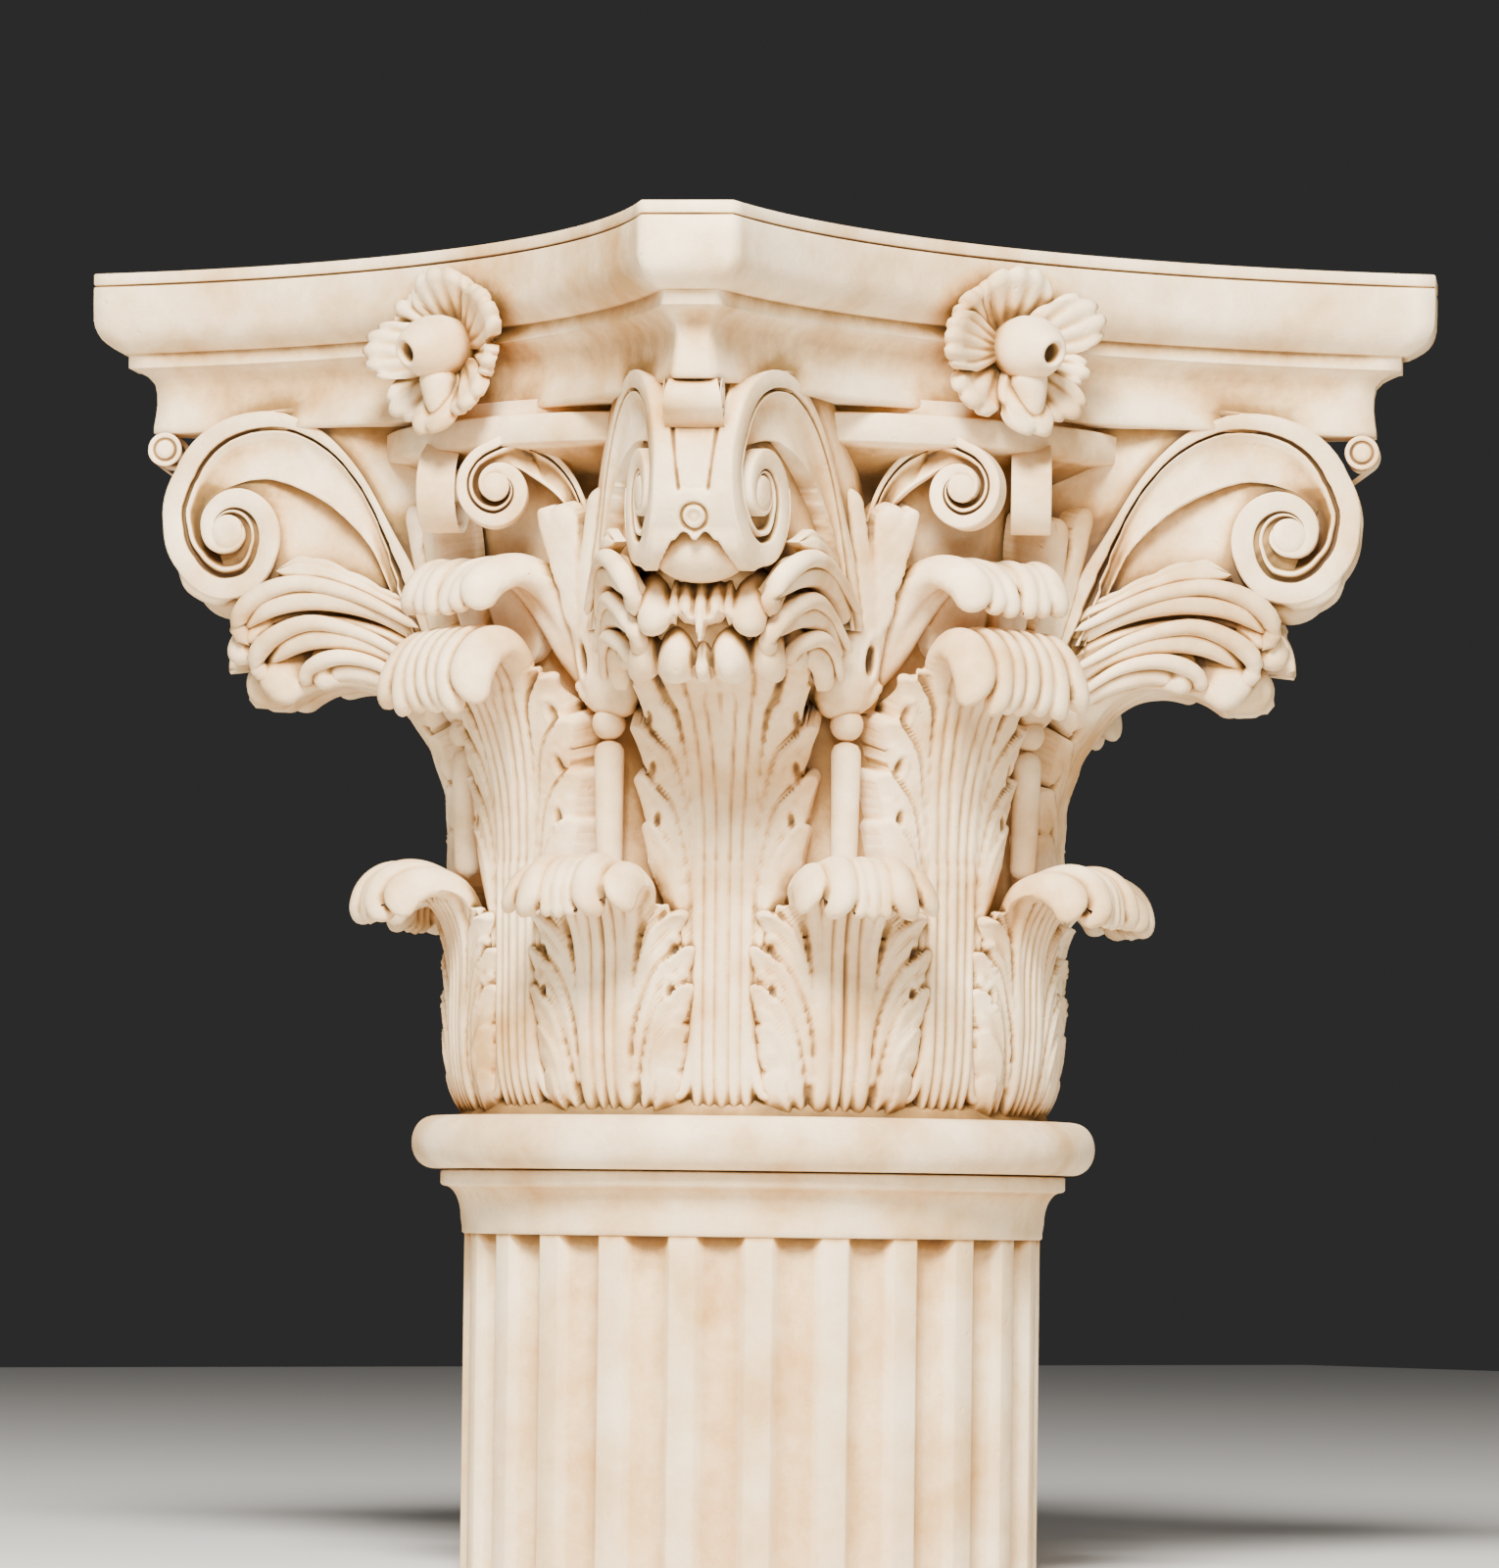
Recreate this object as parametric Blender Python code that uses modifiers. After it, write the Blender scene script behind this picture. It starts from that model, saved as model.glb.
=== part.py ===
"""Corinthian capital on the head of a fluted shaft.

Metres, +Z up. The origin is on the axis, at the flat underside of the shaft. The abacus sides face +X, -X,
+Y and -Y, so its corners are on the diagonals.
"""

import math

import bmesh
import bpy
from mathutils import Matrix, Vector

MM = 0.001

# Shaft
SHAFT_RADIUS = 125 * MM
FLUTED_HEIGHT = 147 * MM
FLUTE_COUNT = 24
FLUTE_WIDTH = 21 * MM
FLUTE_DEPTH = 5.5 * MM
FLUTE_STEPS = 4
NECK_HEIGHT = 27.5 * MM
NECK_RADIUS = 136 * MM
NECK_FILLET = 6.5 * MM
NECK_STEP = 2 * MM
NECK_LAP = MM
SEAM_GAP = 0.3 * MM

# Torus, bell and lip
TORUS_HEIGHT = 23.5 * MM
TORUS_RADIUS = 149 * MM
BELL_RADIUS = 118 * MM
BELL_HEIGHT = 283 * MM
LIP_RADIUS = 166 * MM
LIP_HEIGHT = 12 * MM
LIP_RECESS = 3 * MM
LIP_SETBACK = 8 * MM
BELL_SETBACK = 14 * MM
BELL_LAP = 4 * MM
TURNED_STEPS = 48
KEPT_FACES = 0.47

# Abacus
ABACUS_HEIGHT = 70 * MM
ABACUS_CORNER = 294.1 * MM
ABACUS_WAIST = 169.3 * MM
HORN_WIDTH = 38.6 * MM
LIST_SETBACK = 11.8 * MM
CAVETTO_SETBACK = 19 * MM
SIDE_STEPS = 8

# Leaves: reach is the largest radius, thick is the thickness of the curl
LOWER_REACH = 179 * MM
CORNER_REACH = 222 * MM
MIDDLE_REACH = 187 * MM
LEAF_THICK = 9 * MM
CORNER_THICK = 15 * MM
LEAF_HALF_WIDTH = 40 * MM
CURL_HALF_WIDTH = 31 * MM
STEM_HALF_WIDTH = 12.5 * MM
RIB_DEPTH = 3 * MM
ROOT_DEPTH = 24 * MM
LEAF_BACK = 0.96

# Volutes and helices
VOLUTE_REACH = 262 * MM
STRAP_HALF_WIDTH = 17.6 * MM
VOLUTE_SPLAY = 0.334
RIM_WIDTH = 6 * MM
RIM_HEIGHT = 3 * MM
VOLUTE_STEPS = 22
HELIX_OUT = 165 * MM
HELIX_ASIDE = 25 * MM
HELIX_RADIUS = 18.5 * MM
HELIX_BAND = 17 * MM
HELIX_RIM_WIDTH = 4.5 * MM
HELIX_STEPS = 14
HELIX_TURN = math.radians(50)

# Tongues
TONGUE_ROLL = 8 * MM
TONGUE_WIDTH = 19.5 * MM
TONGUE_SETBACK = 31 * MM
TONGUE_LENGTH = 26 * MM
TONGUE_LAP = 2 * MM

# Caulicoles
CAULICOLE_RADIUS = 131 * MM
STICK_RADIUS = 6 * MM
BALL_RADIUS = 7 * MM
BALL_LAP = 0.5 * MM
POD_RADIUS = 12 * MM
POD_SETOUT = 6 * MM
POD_SLENDER = 3.1
POD_LEAN = math.radians(12)

# Flowers
FLOWER_HALF_WIDTH = 46 * MM
FLOWER_HALF_HEIGHT = 35 * MM
FLOWER_THICK = 24 * MM
FLOWER_PROUD = 3 * MM
FLOWER_MIDDLE = 26 * MM
FLOWER_NOTCH = 0.2
BUD_RADIUS = 13 * MM
PETALS = 8

SEAM = FLUTED_HEIGHT + NECK_HEIGHT
BELL_FOOT = SEAM + TORUS_HEIGHT
LIP_FOOT = BELL_FOOT + BELL_HEIGHT
ABACUS_FOOT = LIP_FOOT + LIP_HEIGHT + LIP_RECESS

# The carving is drawn on a bell 283 mm high and stretches with it
RISE = BELL_HEIGHT / (283 * MM)


def height(drawn):
    """Height of a point of the carving that is drawn this many millimetres above the bell's foot."""
    return BELL_FOOT + drawn * MM * RISE


def smooth(points, share):
    """Point at this share of a Catmull-Rom curve through the points."""
    spans = len(points) - 1
    at = min(max(share, 0.0), 1.0) * spans
    first = min(int(at), spans - 1)
    t = at - first
    p0, p1, p2, p3 = (
        Vector(points[min(max(first + step, 0), spans)]) for step in (-1, 0, 1, 2)
    )
    bend = 2 * p0 - 5 * p1 + 4 * p2 - p3
    return 0.5 * (2 * p1 + (p2 - p0) * t + bend * t**2 + (3 * p1 - p0 - 3 * p2 + p3) * t**3)


def ease(share):
    share = min(max(share, 0.0), 1.0)
    return share * share * (3 - 2 * share)


def finish_mesh(bm, name):
    bmesh.ops.recalc_face_normals(bm, faces=bm.faces)
    if bm.calc_volume(signed=True) < 0:
        bmesh.ops.reverse_faces(bm, faces=bm.faces)
    mesh = bpy.data.meshes.new(name)
    bm.to_mesh(mesh)
    bm.free()
    return mesh


def clear_scene():
    for obj in list(bpy.data.objects):
        bpy.data.objects.remove(obj)


def new_collection(name):
    made = bpy.data.collections.new(name)
    bpy.context.scene.collection.children.link(made)
    return made


def add_object(name, mesh, collection, turn=0.0):
    obj = bpy.data.objects.new(name, mesh)
    obj.rotation_euler.z = turn
    collection.objects.link(obj)
    return obj


def add_carving(name, mesh, collection, turn=0.0):
    """A piece of the carving, which the capital's Boolean joins to the bell."""
    obj = add_object(name, mesh, collection, turn)
    obj.hide_render = True
    obj.display_type = "WIRE"
    return obj


def stone(name, colour):
    material = bpy.data.materials.new(name)
    material.use_nodes = True
    surface = material.node_tree.nodes["Principled BSDF"]
    surface.inputs["Base Color"].default_value = (*colour, 1)
    surface.inputs["Roughness"].default_value = 0.62
    surface.inputs["Metallic"].default_value = 0.0
    return material


def turned(name, profile, collection):
    """Turned body from a profile that runs from the axis, down the outer side and back to the axis."""
    bm = bmesh.new()
    verts = [bm.verts.new((radius, 0, z)) for radius, z in profile]
    for upper, lower in zip(verts, verts[1:]):
        bm.edges.new((upper, lower))
    mesh = bpy.data.meshes.new(name)
    bm.to_mesh(mesh)
    bm.free()
    obj = add_object(name, mesh, collection)
    screw = obj.modifiers.new("Turn", "SCREW")
    screw.steps = screw.render_steps = TURNED_STEPS
    screw.use_merge_vertices = True
    screw.merge_threshold = 0.00001
    screw.use_smooth_shade = False
    return obj


def plate(name, columns, rows, front, back):
    """Closed plate: two grids bent by front(u, v) and back(u, v), u from -1 to 1, and a rim between them."""
    bm = bmesh.new()
    grids = []
    for place in (front, back):
        grid = bmesh.ops.create_grid(bm, x_segments=columns, y_segments=rows, size=1)["verts"]
        for vert in grid:
            vert.co = place(vert.co.x, (vert.co.y + 1) / 2)
        grids.append(grid)
    partner = dict(zip(*grids))
    for edge in [edge for edge in bm.edges if edge.is_boundary]:
        first, second = edge.verts
        if first in partner and second in partner:
            bm.faces.new((first, second, partner[second], partner[first]))
    return finish_mesh(bm, name)


def slab(name, outline, place, near, far):
    """Outline in a plane, drawn out between two depths; place(x, y, depth) puts each point."""
    bm = bmesh.new()
    rings = [[bm.verts.new(place(x, y, depth)) for x, y in outline] for depth in (near, far)]
    bm.faces.new(rings[0])
    bm.faces.new(reversed(rings[1]))
    for index in range(len(outline)):
        after = (index + 1) % len(outline)
        bm.faces.new((rings[0][index], rings[1][index], rings[1][after], rings[0][after]))
    return finish_mesh(bm, name)


def rings_mesh(name, rings):
    """Closed body through rings of as many points each, capped at both ends."""
    bm = bmesh.new()
    loops = [[bm.verts.new(point) for point in ring] for ring in rings]
    count = len(loops[0])
    for lower, upper in zip(loops, loops[1:]):
        for index in range(count):
            after = (index + 1) % count
            bm.faces.new((lower[index], lower[after], upper[after], upper[index]))
    bm.faces.new(loops[0][::-1])
    bm.faces.new(loops[-1])
    return finish_mesh(bm, name)


def shaft_profile():
    """Necking: a hollow sweep out from the shaft to a fillet."""
    foot = FLUTED_HEIGHT
    fillet_foot = SEAM - NECK_FILLET
    inner = SHAFT_RADIUS + NECK_LAP
    sweep_out = NECK_RADIUS - NECK_STEP - inner
    sweep_foot = foot + NECK_STEP
    sweep = []
    for step in range(5):
        turn = math.radians(90 * step / 4)
        up = (fillet_foot - sweep_foot) * math.sin(turn)
        sweep.append((inner + sweep_out * (1 - math.cos(turn)), sweep_foot + up))
    outer = [(0, foot - NECK_LAP), (inner, foot), *sweep]
    outer += [(NECK_RADIUS, fillet_foot), (NECK_RADIUS, SEAM), (0, SEAM)]
    return outer[::-1]


def flute_outline():
    """Plan of the shaft: shallow hollow flutes with flat fillets between them."""
    half = math.asin(FLUTE_WIDTH / 2 / SHAFT_RADIUS)
    points = []
    for flute in range(FLUTE_COUNT):
        middle = math.tau * flute / FLUTE_COUNT
        for step in range(FLUTE_STEPS + 1):
            across = 2 * step / FLUTE_STEPS - 1
            radius = SHAFT_RADIUS - FLUTE_DEPTH * (1 - across**2)
            turn = middle + across * half
            points.append((radius * math.cos(turn), radius * math.sin(turn)))
    return points


def build_shaft(collection, helpers):
    neck = turned("shaft", shaft_profile(), collection)
    outline = flute_outline()
    fluted = slab("fluted_shaft", outline, lambda x, y, z: Vector((x, y, z)), 0, FLUTED_HEIGHT)
    joined = neck.modifiers.new("Fluted shaft", "BOOLEAN")
    joined.operation = "UNION"
    joined.solver = "EXACT"
    joined.object = add_carving("fluted_shaft", fluted, helpers)
    return neck


def capital_profile():
    """Torus, bell and lip, from the axis down the outer side and back."""
    seat = SEAM + SEAM_GAP
    top = ABACUS_FOOT + BELL_LAP
    lip_top = LIP_FOOT + LIP_HEIGHT
    recess = LIP_RADIUS - LIP_SETBACK
    profile = [(0, top), (recess, top), (recess, lip_top), (LIP_RADIUS, lip_top)]
    profile += [(LIP_RADIUS, LIP_FOOT), (recess, LIP_FOOT - LIP_SETBACK / 4)]
    flare = LIP_RADIUS - BELL_SETBACK - BELL_RADIUS
    for step in range(5):
        share = 0.95 - 0.95 * step / 4
        profile.append((BELL_RADIUS + flare * share**4, BELL_FOOT + BELL_HEIGHT * share))
    round_middle = (TORUS_HEIGHT - SEAM_GAP) / 2
    for step in range(7):
        turn = math.radians(90 - 30 * step)
        out = TORUS_RADIUS - round_middle * (1 - math.cos(turn))
        profile.append((out, seat + round_middle * (1 + math.sin(turn))))
    profile.append((0, seat))
    return profile


def abacus_ring(level, corner_in, side_in):
    """Plan of the abacus at one level: four hollow sides between four cut corners."""
    corner = ABACUS_CORNER
    half = HORN_WIDTH / 2
    end = Vector((corner + half, corner - half)) * math.sqrt(0.5)
    sag = end.x - ABACUS_WAIST
    hollow = (end.y**2 + sag**2) / (2 * sag)
    centre = ABACUS_WAIST + hollow
    radius = hollow + side_in
    # Where the side's arc meets the corner's cut, this far from the diagonal
    reach = corner - corner_in
    linear = centre * math.sqrt(2)
    constant = reach**2 - linear * reach + centre**2 - radius**2
    aside = (linear - math.sqrt(linear**2 - 4 * constant)) / 2
    meet = Vector((reach + aside, reach - aside)) * math.sqrt(0.5)
    swing = math.asin(meet.y / radius)
    points = []
    for side in range(4):
        for step in range(SIDE_STEPS + 1):
            turn = swing * (2 * step / SIDE_STEPS - 1)
            local = Vector((centre - radius * math.cos(turn), radius * math.sin(turn), level))
            points.append(Matrix.Rotation(math.radians(90 * side), 3, "Z") @ local)
    return points


def build_abacus(collection):
    """Mouldings from the underside up, each as height, set-back at the corner and set-back at the side."""
    round_in = LIST_SETBACK + 2.8 * MM
    stem_in = CAVETTO_SETBACK + 6.7 * MM
    share = ABACUS_HEIGHT / (70 * MM)
    levels = [
        (0, stem_in - 0.5 * MM, CAVETTO_SETBACK - MM),
        (12, stem_in + MM, CAVETTO_SETBACK + MM),
        (22, stem_in, CAVETTO_SETBACK),
        (29, round_in + 0.5 * MM, LIST_SETBACK + 0.5 * MM),
        (29.3, round_in, LIST_SETBACK),
        (35, round_in, LIST_SETBACK),
        (36, round_in - 3.5 * MM, LIST_SETBACK - 3 * MM),
        (42, 3 * MM, 2.6 * MM),
        (49, 0, 0),
        (70, 0, 0),
    ]
    rings = []
    for drawn, corner_in, side_in in levels:
        rings.append(abacus_ring(ABACUS_FOOT + drawn * MM * share, corner_in, side_in))
    add_carving("abacus", rings_mesh("abacus", rings), collection)


def leaf_mesh(name, path, stations, thick, ribs, droop, lag, columns=6):
    """Acanthus leaf on the +X axis.

    path holds the radius and height of its front along the middle, from foot to tip. stations holds, for
    each row of the grid, the share of the path and the half width there.
    """
    rows = len(stations) - 1

    def centre(u, v):
        share, half = stations[round(v * rows)]
        curl = ease((share - 0.55) / 0.35)
        along = share - lag * curl * u * u
        point = smooth(path, along)
        ahead = smooth(path, along + 0.01) - smooth(path, along - 0.01)
        inward = Vector((-ahead.y, ahead.x)).normalized()
        return point, inward, u * half, curl

    def place(point, aside, drop):
        hug = min(point.x, BELL_RADIUS + 20 * MM)
        turn = aside / hug
        out = point.x - hug
        return Vector((hug * math.cos(turn) + out, hug * math.sin(turn), point.y - drop))

    def front(u, v):
        point, inward, aside, curl = centre(u, v)
        rib = ribs * math.cos(math.pi * columns / 2 * u)
        return place(point - inward * rib, aside, droop * curl * u * u)

    def back(u, v):
        point, inward, aside, curl = centre(u, v)
        depth = ROOT_DEPTH + (thick - ROOT_DEPTH) * curl
        scallop = 1 - 0.25 * curl * (1 + math.cos(math.pi * columns / 2 * u)) / 2
        return place(point + inward * depth * scallop, aside * LEAF_BACK, droop * curl * u * u)

    return plate(name, columns, rows, front, back)


def leaf_path(reach, drawn, thick):
    """Front line of a leaf, drawn as millimetres out from the bell and up, and stretched to its reach."""
    furthest = max(out for out, _ in drawn) * MM + thick
    room = reach - BELL_RADIUS
    return [(BELL_RADIUS + out * MM * room / furthest, height(up)) for out, up in drawn]


def lobed_stations(first, last, lobes, wide, narrow, deep):
    """Rows of the leaf's lobed stretch: each lobe starts in a notch and ends in a tip."""
    stations = []
    for lobe in range(lobes):
        for part, cut in ((0.0, deep), (0.72, 0.0)):
            share = (lobe + part) / lobes
            half = wide + (narrow - wide) * share**2
            stations.append((first + (last - first) * share, half * (1 - cut)))
    return stations


def build_leaves(collection):
    lower_line = [(4, -4), (13, 12), (18, 35), (18, 64), (20, 80), (26, 92), (36, 100), (47, 101)]
    lower = leaf_path(LOWER_REACH, lower_line + [(54, 94), (53, 84)], LEAF_THICK)
    lower_rows = [(0, LEAF_HALF_WIDTH * 1.15)]
    lower_rows += lobed_stations(0.09, 0.5, 4, LEAF_HALF_WIDTH * 1.06, LEAF_HALF_WIDTH * 0.92, 0.2)
    for share, wide in ((0.55, 0.9), (0.74, 1), (0.9, 1), (1, 0.8)):
        lower_rows.append((share, CURL_HALF_WIDTH * wide))
    mesh = leaf_mesh("lower_leaf", lower, lower_rows, LEAF_THICK, RIB_DEPTH, 14 * MM, 0.12)
    for index in range(8):
        add_carving(f"lower_leaf_{index}", mesh, collection, math.radians(22.5 + 45 * index))

    stem_line = [(2, -4), (14, 20), (16, 75), (16, 110), (18, 140)]
    corner_line = stem_line + [(28, 164), (45, 187), (62, 194), (76, 191), (85, 183), (88, 174)]
    middle_line = stem_line + [(24, 166), (33, 188), (43, 198), (52, 198), (58, 191), (59, 186)]
    corner = leaf_path(CORNER_REACH, corner_line, CORNER_THICK)
    middle = leaf_path(MIDDLE_REACH, middle_line, LEAF_THICK)
    upper_rows = [(0, STEM_HALF_WIDTH), (0.1, STEM_HALF_WIDTH), (0.27, STEM_HALF_WIDTH * 1.1)]
    upper_rows += lobed_stations(0.3, 0.56, 3, LEAF_HALF_WIDTH, LEAF_HALF_WIDTH, 0.2)
    for share, wide in ((0.62, 1), (0.78, 1), (0.92, 1), (1, 0.95)):
        upper_rows.append((share, CURL_HALF_WIDTH * wide))
    corner_mesh = leaf_mesh("corner_leaf", corner, upper_rows, CORNER_THICK, RIB_DEPTH, 3 * MM, 0.04)
    middle_mesh = leaf_mesh("middle_leaf", middle, upper_rows, LEAF_THICK, RIB_DEPTH, 12 * MM, 0.1)
    for index in range(4):
        add_carving(f"corner_leaf_{index}", corner_mesh, collection, math.radians(45 + 90 * index))
        add_carving(f"middle_leaf_{index}", middle_mesh, collection, math.radians(90 * index))


def build_curls(collection):
    """Third tier: the leaves of the caulicoles, which curl over under the volutes and under the helices."""
    corner = leaf_path(
        CORNER_REACH + 10 * MM,
        [(2, 176), (25, 192), (52, 203), (78, 210), (94, 208), (99, 201)],
        CORNER_THICK * 0.8,
    )
    corner_rows = [(0, 46 * MM), (0.3, 46 * MM), (0.55, 36 * MM), (0.8, 28 * MM), (1, 25 * MM)]
    middle = leaf_path(
        MIDDLE_REACH - 9 * MM,
        [(2, 190), (14, 208), (26, 224), (36, 230), (45, 227), (49, 218)],
        LEAF_THICK,
    )
    middle_rows = [(0, 40 * MM), (0.3, 36 * MM), (0.55, 28 * MM), (0.8, 26 * MM), (1, 21 * MM)]
    thick = CORNER_THICK * 0.8
    corner_mesh = leaf_mesh("corner_curl", corner, corner_rows, thick, RIB_DEPTH, 3 * MM, 0.04)
    middle_mesh = leaf_mesh("middle_curl", middle, middle_rows, LEAF_THICK, RIB_DEPTH, 8 * MM, 0.08)
    for index in range(4):
        add_carving(f"corner_curl_{index}", corner_mesh, collection, math.radians(45 + 90 * index))
        add_carving(f"middle_curl_{index}", middle_mesh, collection, math.radians(90 * index))


def spiral_ridge(name, turns, segments, width, place):
    """Raised rim along a spiral of angles in degrees and radii; place(x, y, depth) puts a point."""

    def edge(u, v):
        angle, radius = smooth(turns, v)
        narrowing = 1 - 0.45 * v
        reach = radius - width * (1 + u) / 2 * narrowing
        turn = math.radians(angle)
        return reach * math.cos(turn), reach * math.sin(turn)

    return plate(
        name,
        1,
        segments,
        lambda u, v: place(*edge(u, v), RIM_HEIGHT),
        lambda u, v: place(*edge(u, v), -RIM_HEIGHT),
    )


def volute_point(a, z, side, lift):
    """Point on the volute's face: a along the corner's diagonal, side -1 or 1, lift out of the face."""
    face = STRAP_HALF_WIDTH + (VOLUTE_REACH - 4 * MM - a) * VOLUTE_SPLAY
    return Vector((a, side * (face + lift), z))


def build_volutes(collection):
    """A pair under each corner: one splayed body with a spiral rim on each face."""
    eye_out = VOLUTE_REACH - 30 * MM
    eye_up = height(254)
    grow = (VOLUTE_REACH - BELL_RADIUS) / (144 * MM)
    outline = [(-100, -46), (-78, -4), (-62, 26), (-45, 44), (-17, 52.4), (9, 45.6), (25, 27), (30, 3)]
    outline += [(23, -16.6), (4, -29.6), (-12, -27), (-23, -12.4), (-27, 6), (-30, 18), (-47, 10)]
    outline += [(-65, -6), (-86, -50)]
    points = [(eye_out + x * MM * grow, eye_up + y * MM * RISE) for x, y in outline]

    def body(a, z, side):
        return volute_point(a, z, side, 0)

    mesh = slab("volute", points, body, -1, 1)
    turns = [(150, 70), (108, 55), (78, 46.5), (47, 36.7), (6, 30.2), (-36, 28.2), (-82, 29.9)]
    turns += [(-115, 29.7), (-151, 26), (-199, 23.3), (-252, 19.7), (-302, 15.8), (-355, 12.4)]
    turns += [(-401, 11), (-450, 9.3)]
    ridges = []
    for side in (-1, 1):
        ridges.append(
            spiral_ridge(
                "volute_rim",
                turns,
                VOLUTE_STEPS,
                RIM_WIDTH / MM,
                lambda x, y, depth, side=side: volute_point(
                    eye_out + x * MM * grow, eye_up + y * MM * RISE, side, depth
                ),
            )
        )
    for index in range(4):
        turn = math.radians(45 + 90 * index)
        add_carving(f"volute_{index}", mesh, collection, turn)
        for side, ridge in enumerate(ridges):
            add_carving(f"volute_rim_{index}_{side}", ridge, collection, turn)


def build_tongues(collection):
    """Small rolled tongue between each corner of the abacus and the volutes."""
    out = ABACUS_CORNER - TONGUE_SETBACK
    up = ABACUS_FOOT - TONGUE_ROLL + TONGUE_LAP
    outline = []
    for step in range(9):
        turn = math.radians(90 - 210 * step / 8)
        outline.append((out + TONGUE_ROLL * math.cos(turn), up + TONGUE_ROLL * math.sin(turn)))
    outline += [(out - TONGUE_LENGTH, up - TONGUE_ROLL), (out - TONGUE_LENGTH, up + TONGUE_ROLL)]
    half = TONGUE_WIDTH / 2
    mesh = slab("tongue", outline, lambda a, z, side: Vector((a, side * half, z)), -1, 1)
    for index in range(4):
        add_carving(f"tongue_{index}", mesh, collection, math.radians(45 + 90 * index))


def build_helices(collection):
    """A pair under each flower: a flat band that rises from the caulicole and rolls up beside its twin."""
    eye_up = height(265)
    size = HELIX_RADIUS / 18.5
    whorl = [(18, 0), (17, 10), (8, 17.5), (-7, 19.5), (-24, 17), (-39, 5), (-46, -14), (-50, -40)]
    whorl += [(-42, -40), (-38, -18), (-28, -5), (-17, 1), (-16, -8), (-10, -15), (-2, -18.5)]
    whorl += [(9, -16), (16, -9)]
    turns = [(140, 27), (110, 21), (80, 19.5), (40, 18.5), (0, 18), (-45, 18), (-90, 18.5)]
    turns += [(-140, 17), (-190, 14), (-240, 11.5), (-300, 9), (-360, 7)]
    for side in (-1, 1):
        facing = Vector((math.cos(HELIX_TURN), side * math.sin(HELIX_TURN), 0))
        onward = Vector((math.sin(HELIX_TURN), -side * math.cos(HELIX_TURN), 0))
        eye = Vector((HELIX_OUT, side * HELIX_ASIDE, eye_up))

        def place(x, y, depth, facing=facing, onward=onward, eye=eye):
            return eye + onward * x * size + Vector((0, 0, y * size * RISE)) + facing * depth

        band = slab("helix", [(x, y) for x, y in whorl], place, -HELIX_BAND, 0)
        rim = spiral_ridge("helix_rim", turns, HELIX_STEPS, HELIX_RIM_WIDTH / MM, place)
        for index in range(4):
            turn = math.radians(90 * index)
            add_carving(f"helix_{index}_{side + 1}", band, collection, turn)
            add_carving(f"helix_rim_{index}_{side + 1}", rim, collection, turn)


def build_caulicoles(collection):
    """A rod, a ball and a pod between the leaves of the second row."""
    bm = bmesh.new()
    stick_foot, stick_top = height(100), height(158)
    bmesh.ops.create_cone(
        bm,
        cap_ends=True,
        segments=8,
        radius1=STICK_RADIUS * 0.85,
        radius2=STICK_RADIUS,
        depth=stick_top - stick_foot,
        matrix=Matrix.Translation((CAULICOLE_RADIUS, 0, (stick_top + stick_foot) / 2)),
    )
    stick = finish_mesh(bm, "stick")
    bm = bmesh.new()
    bmesh.ops.create_uvsphere(
        bm,
        u_segments=8,
        v_segments=5,
        radius=BALL_RADIUS,
        matrix=Matrix.Translation((CAULICOLE_RADIUS + MM, 0, stick_top + BALL_RADIUS - BALL_LAP)),
    )
    ball = finish_mesh(bm, "ball")
    bm = bmesh.new()
    lean = Matrix.Rotation(POD_LEAN, 4, "Y")
    bmesh.ops.create_uvsphere(
        bm,
        u_segments=8,
        v_segments=6,
        radius=POD_RADIUS,
        matrix=Matrix.Translation((CAULICOLE_RADIUS + POD_SETOUT, 0, height(210)))
        @ lean
        @ Matrix.Diagonal((1.1, 1, POD_SLENDER * RISE, 1)),
    )
    pod = finish_mesh(bm, "pod")
    for index in range(8):
        turn = math.radians(22.5 + 45 * index)
        add_carving(f"stick_{index}", stick, collection, turn)
        add_carving(f"ball_{index}", ball, collection, turn)
        add_carving(f"pod_{index}", pod, collection, turn)


def flower_ring(size, out, notch):
    """Ring of petals, this share of the flower's size and this far out from the abacus."""
    middle = ABACUS_FOOT + FLOWER_MIDDLE
    points = []
    for step in range(2 * PETALS):
        turn = math.pi * step / PETALS
        reach = size * (1 - notch * (step % 2))
        across = FLOWER_HALF_WIDTH * reach * math.cos(turn)
        points.append((ABACUS_WAIST + out, across, middle + FLOWER_HALF_HEIGHT * reach * math.sin(turn)))
    return points


def build_flowers(collection):
    """Open flower in the middle of each side of the abacus: cupped petals round a bud."""
    rings = [
        flower_ring(0.7, FLOWER_PROUD - FLOWER_THICK, 0),
        flower_ring(0.95, FLOWER_PROUD - 9 * MM, FLOWER_NOTCH),
        flower_ring(1, FLOWER_PROUD, FLOWER_NOTCH),
        flower_ring(0.6, FLOWER_PROUD - 4 * MM, FLOWER_NOTCH / 2),
        flower_ring(0.3, FLOWER_PROUD - 4 * MM, 0),
    ]
    petals = rings_mesh("petals", rings)
    bm = bmesh.new()
    bmesh.ops.create_uvsphere(
        bm,
        u_segments=8,
        v_segments=5,
        radius=BUD_RADIUS,
        matrix=Matrix.Translation((ABACUS_WAIST + FLOWER_PROUD + 2 * MM, 0, ABACUS_FOOT + FLOWER_MIDDLE))
        @ Matrix.Rotation(math.radians(90), 4, "Y"),
    )
    bud = finish_mesh(bm, "bud")
    for index in range(4):
        turn = math.radians(90 * index)
        add_carving(f"petals_{index}", petals, collection, turn)
        add_carving(f"bud_{index}", bud, collection, turn)


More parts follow.
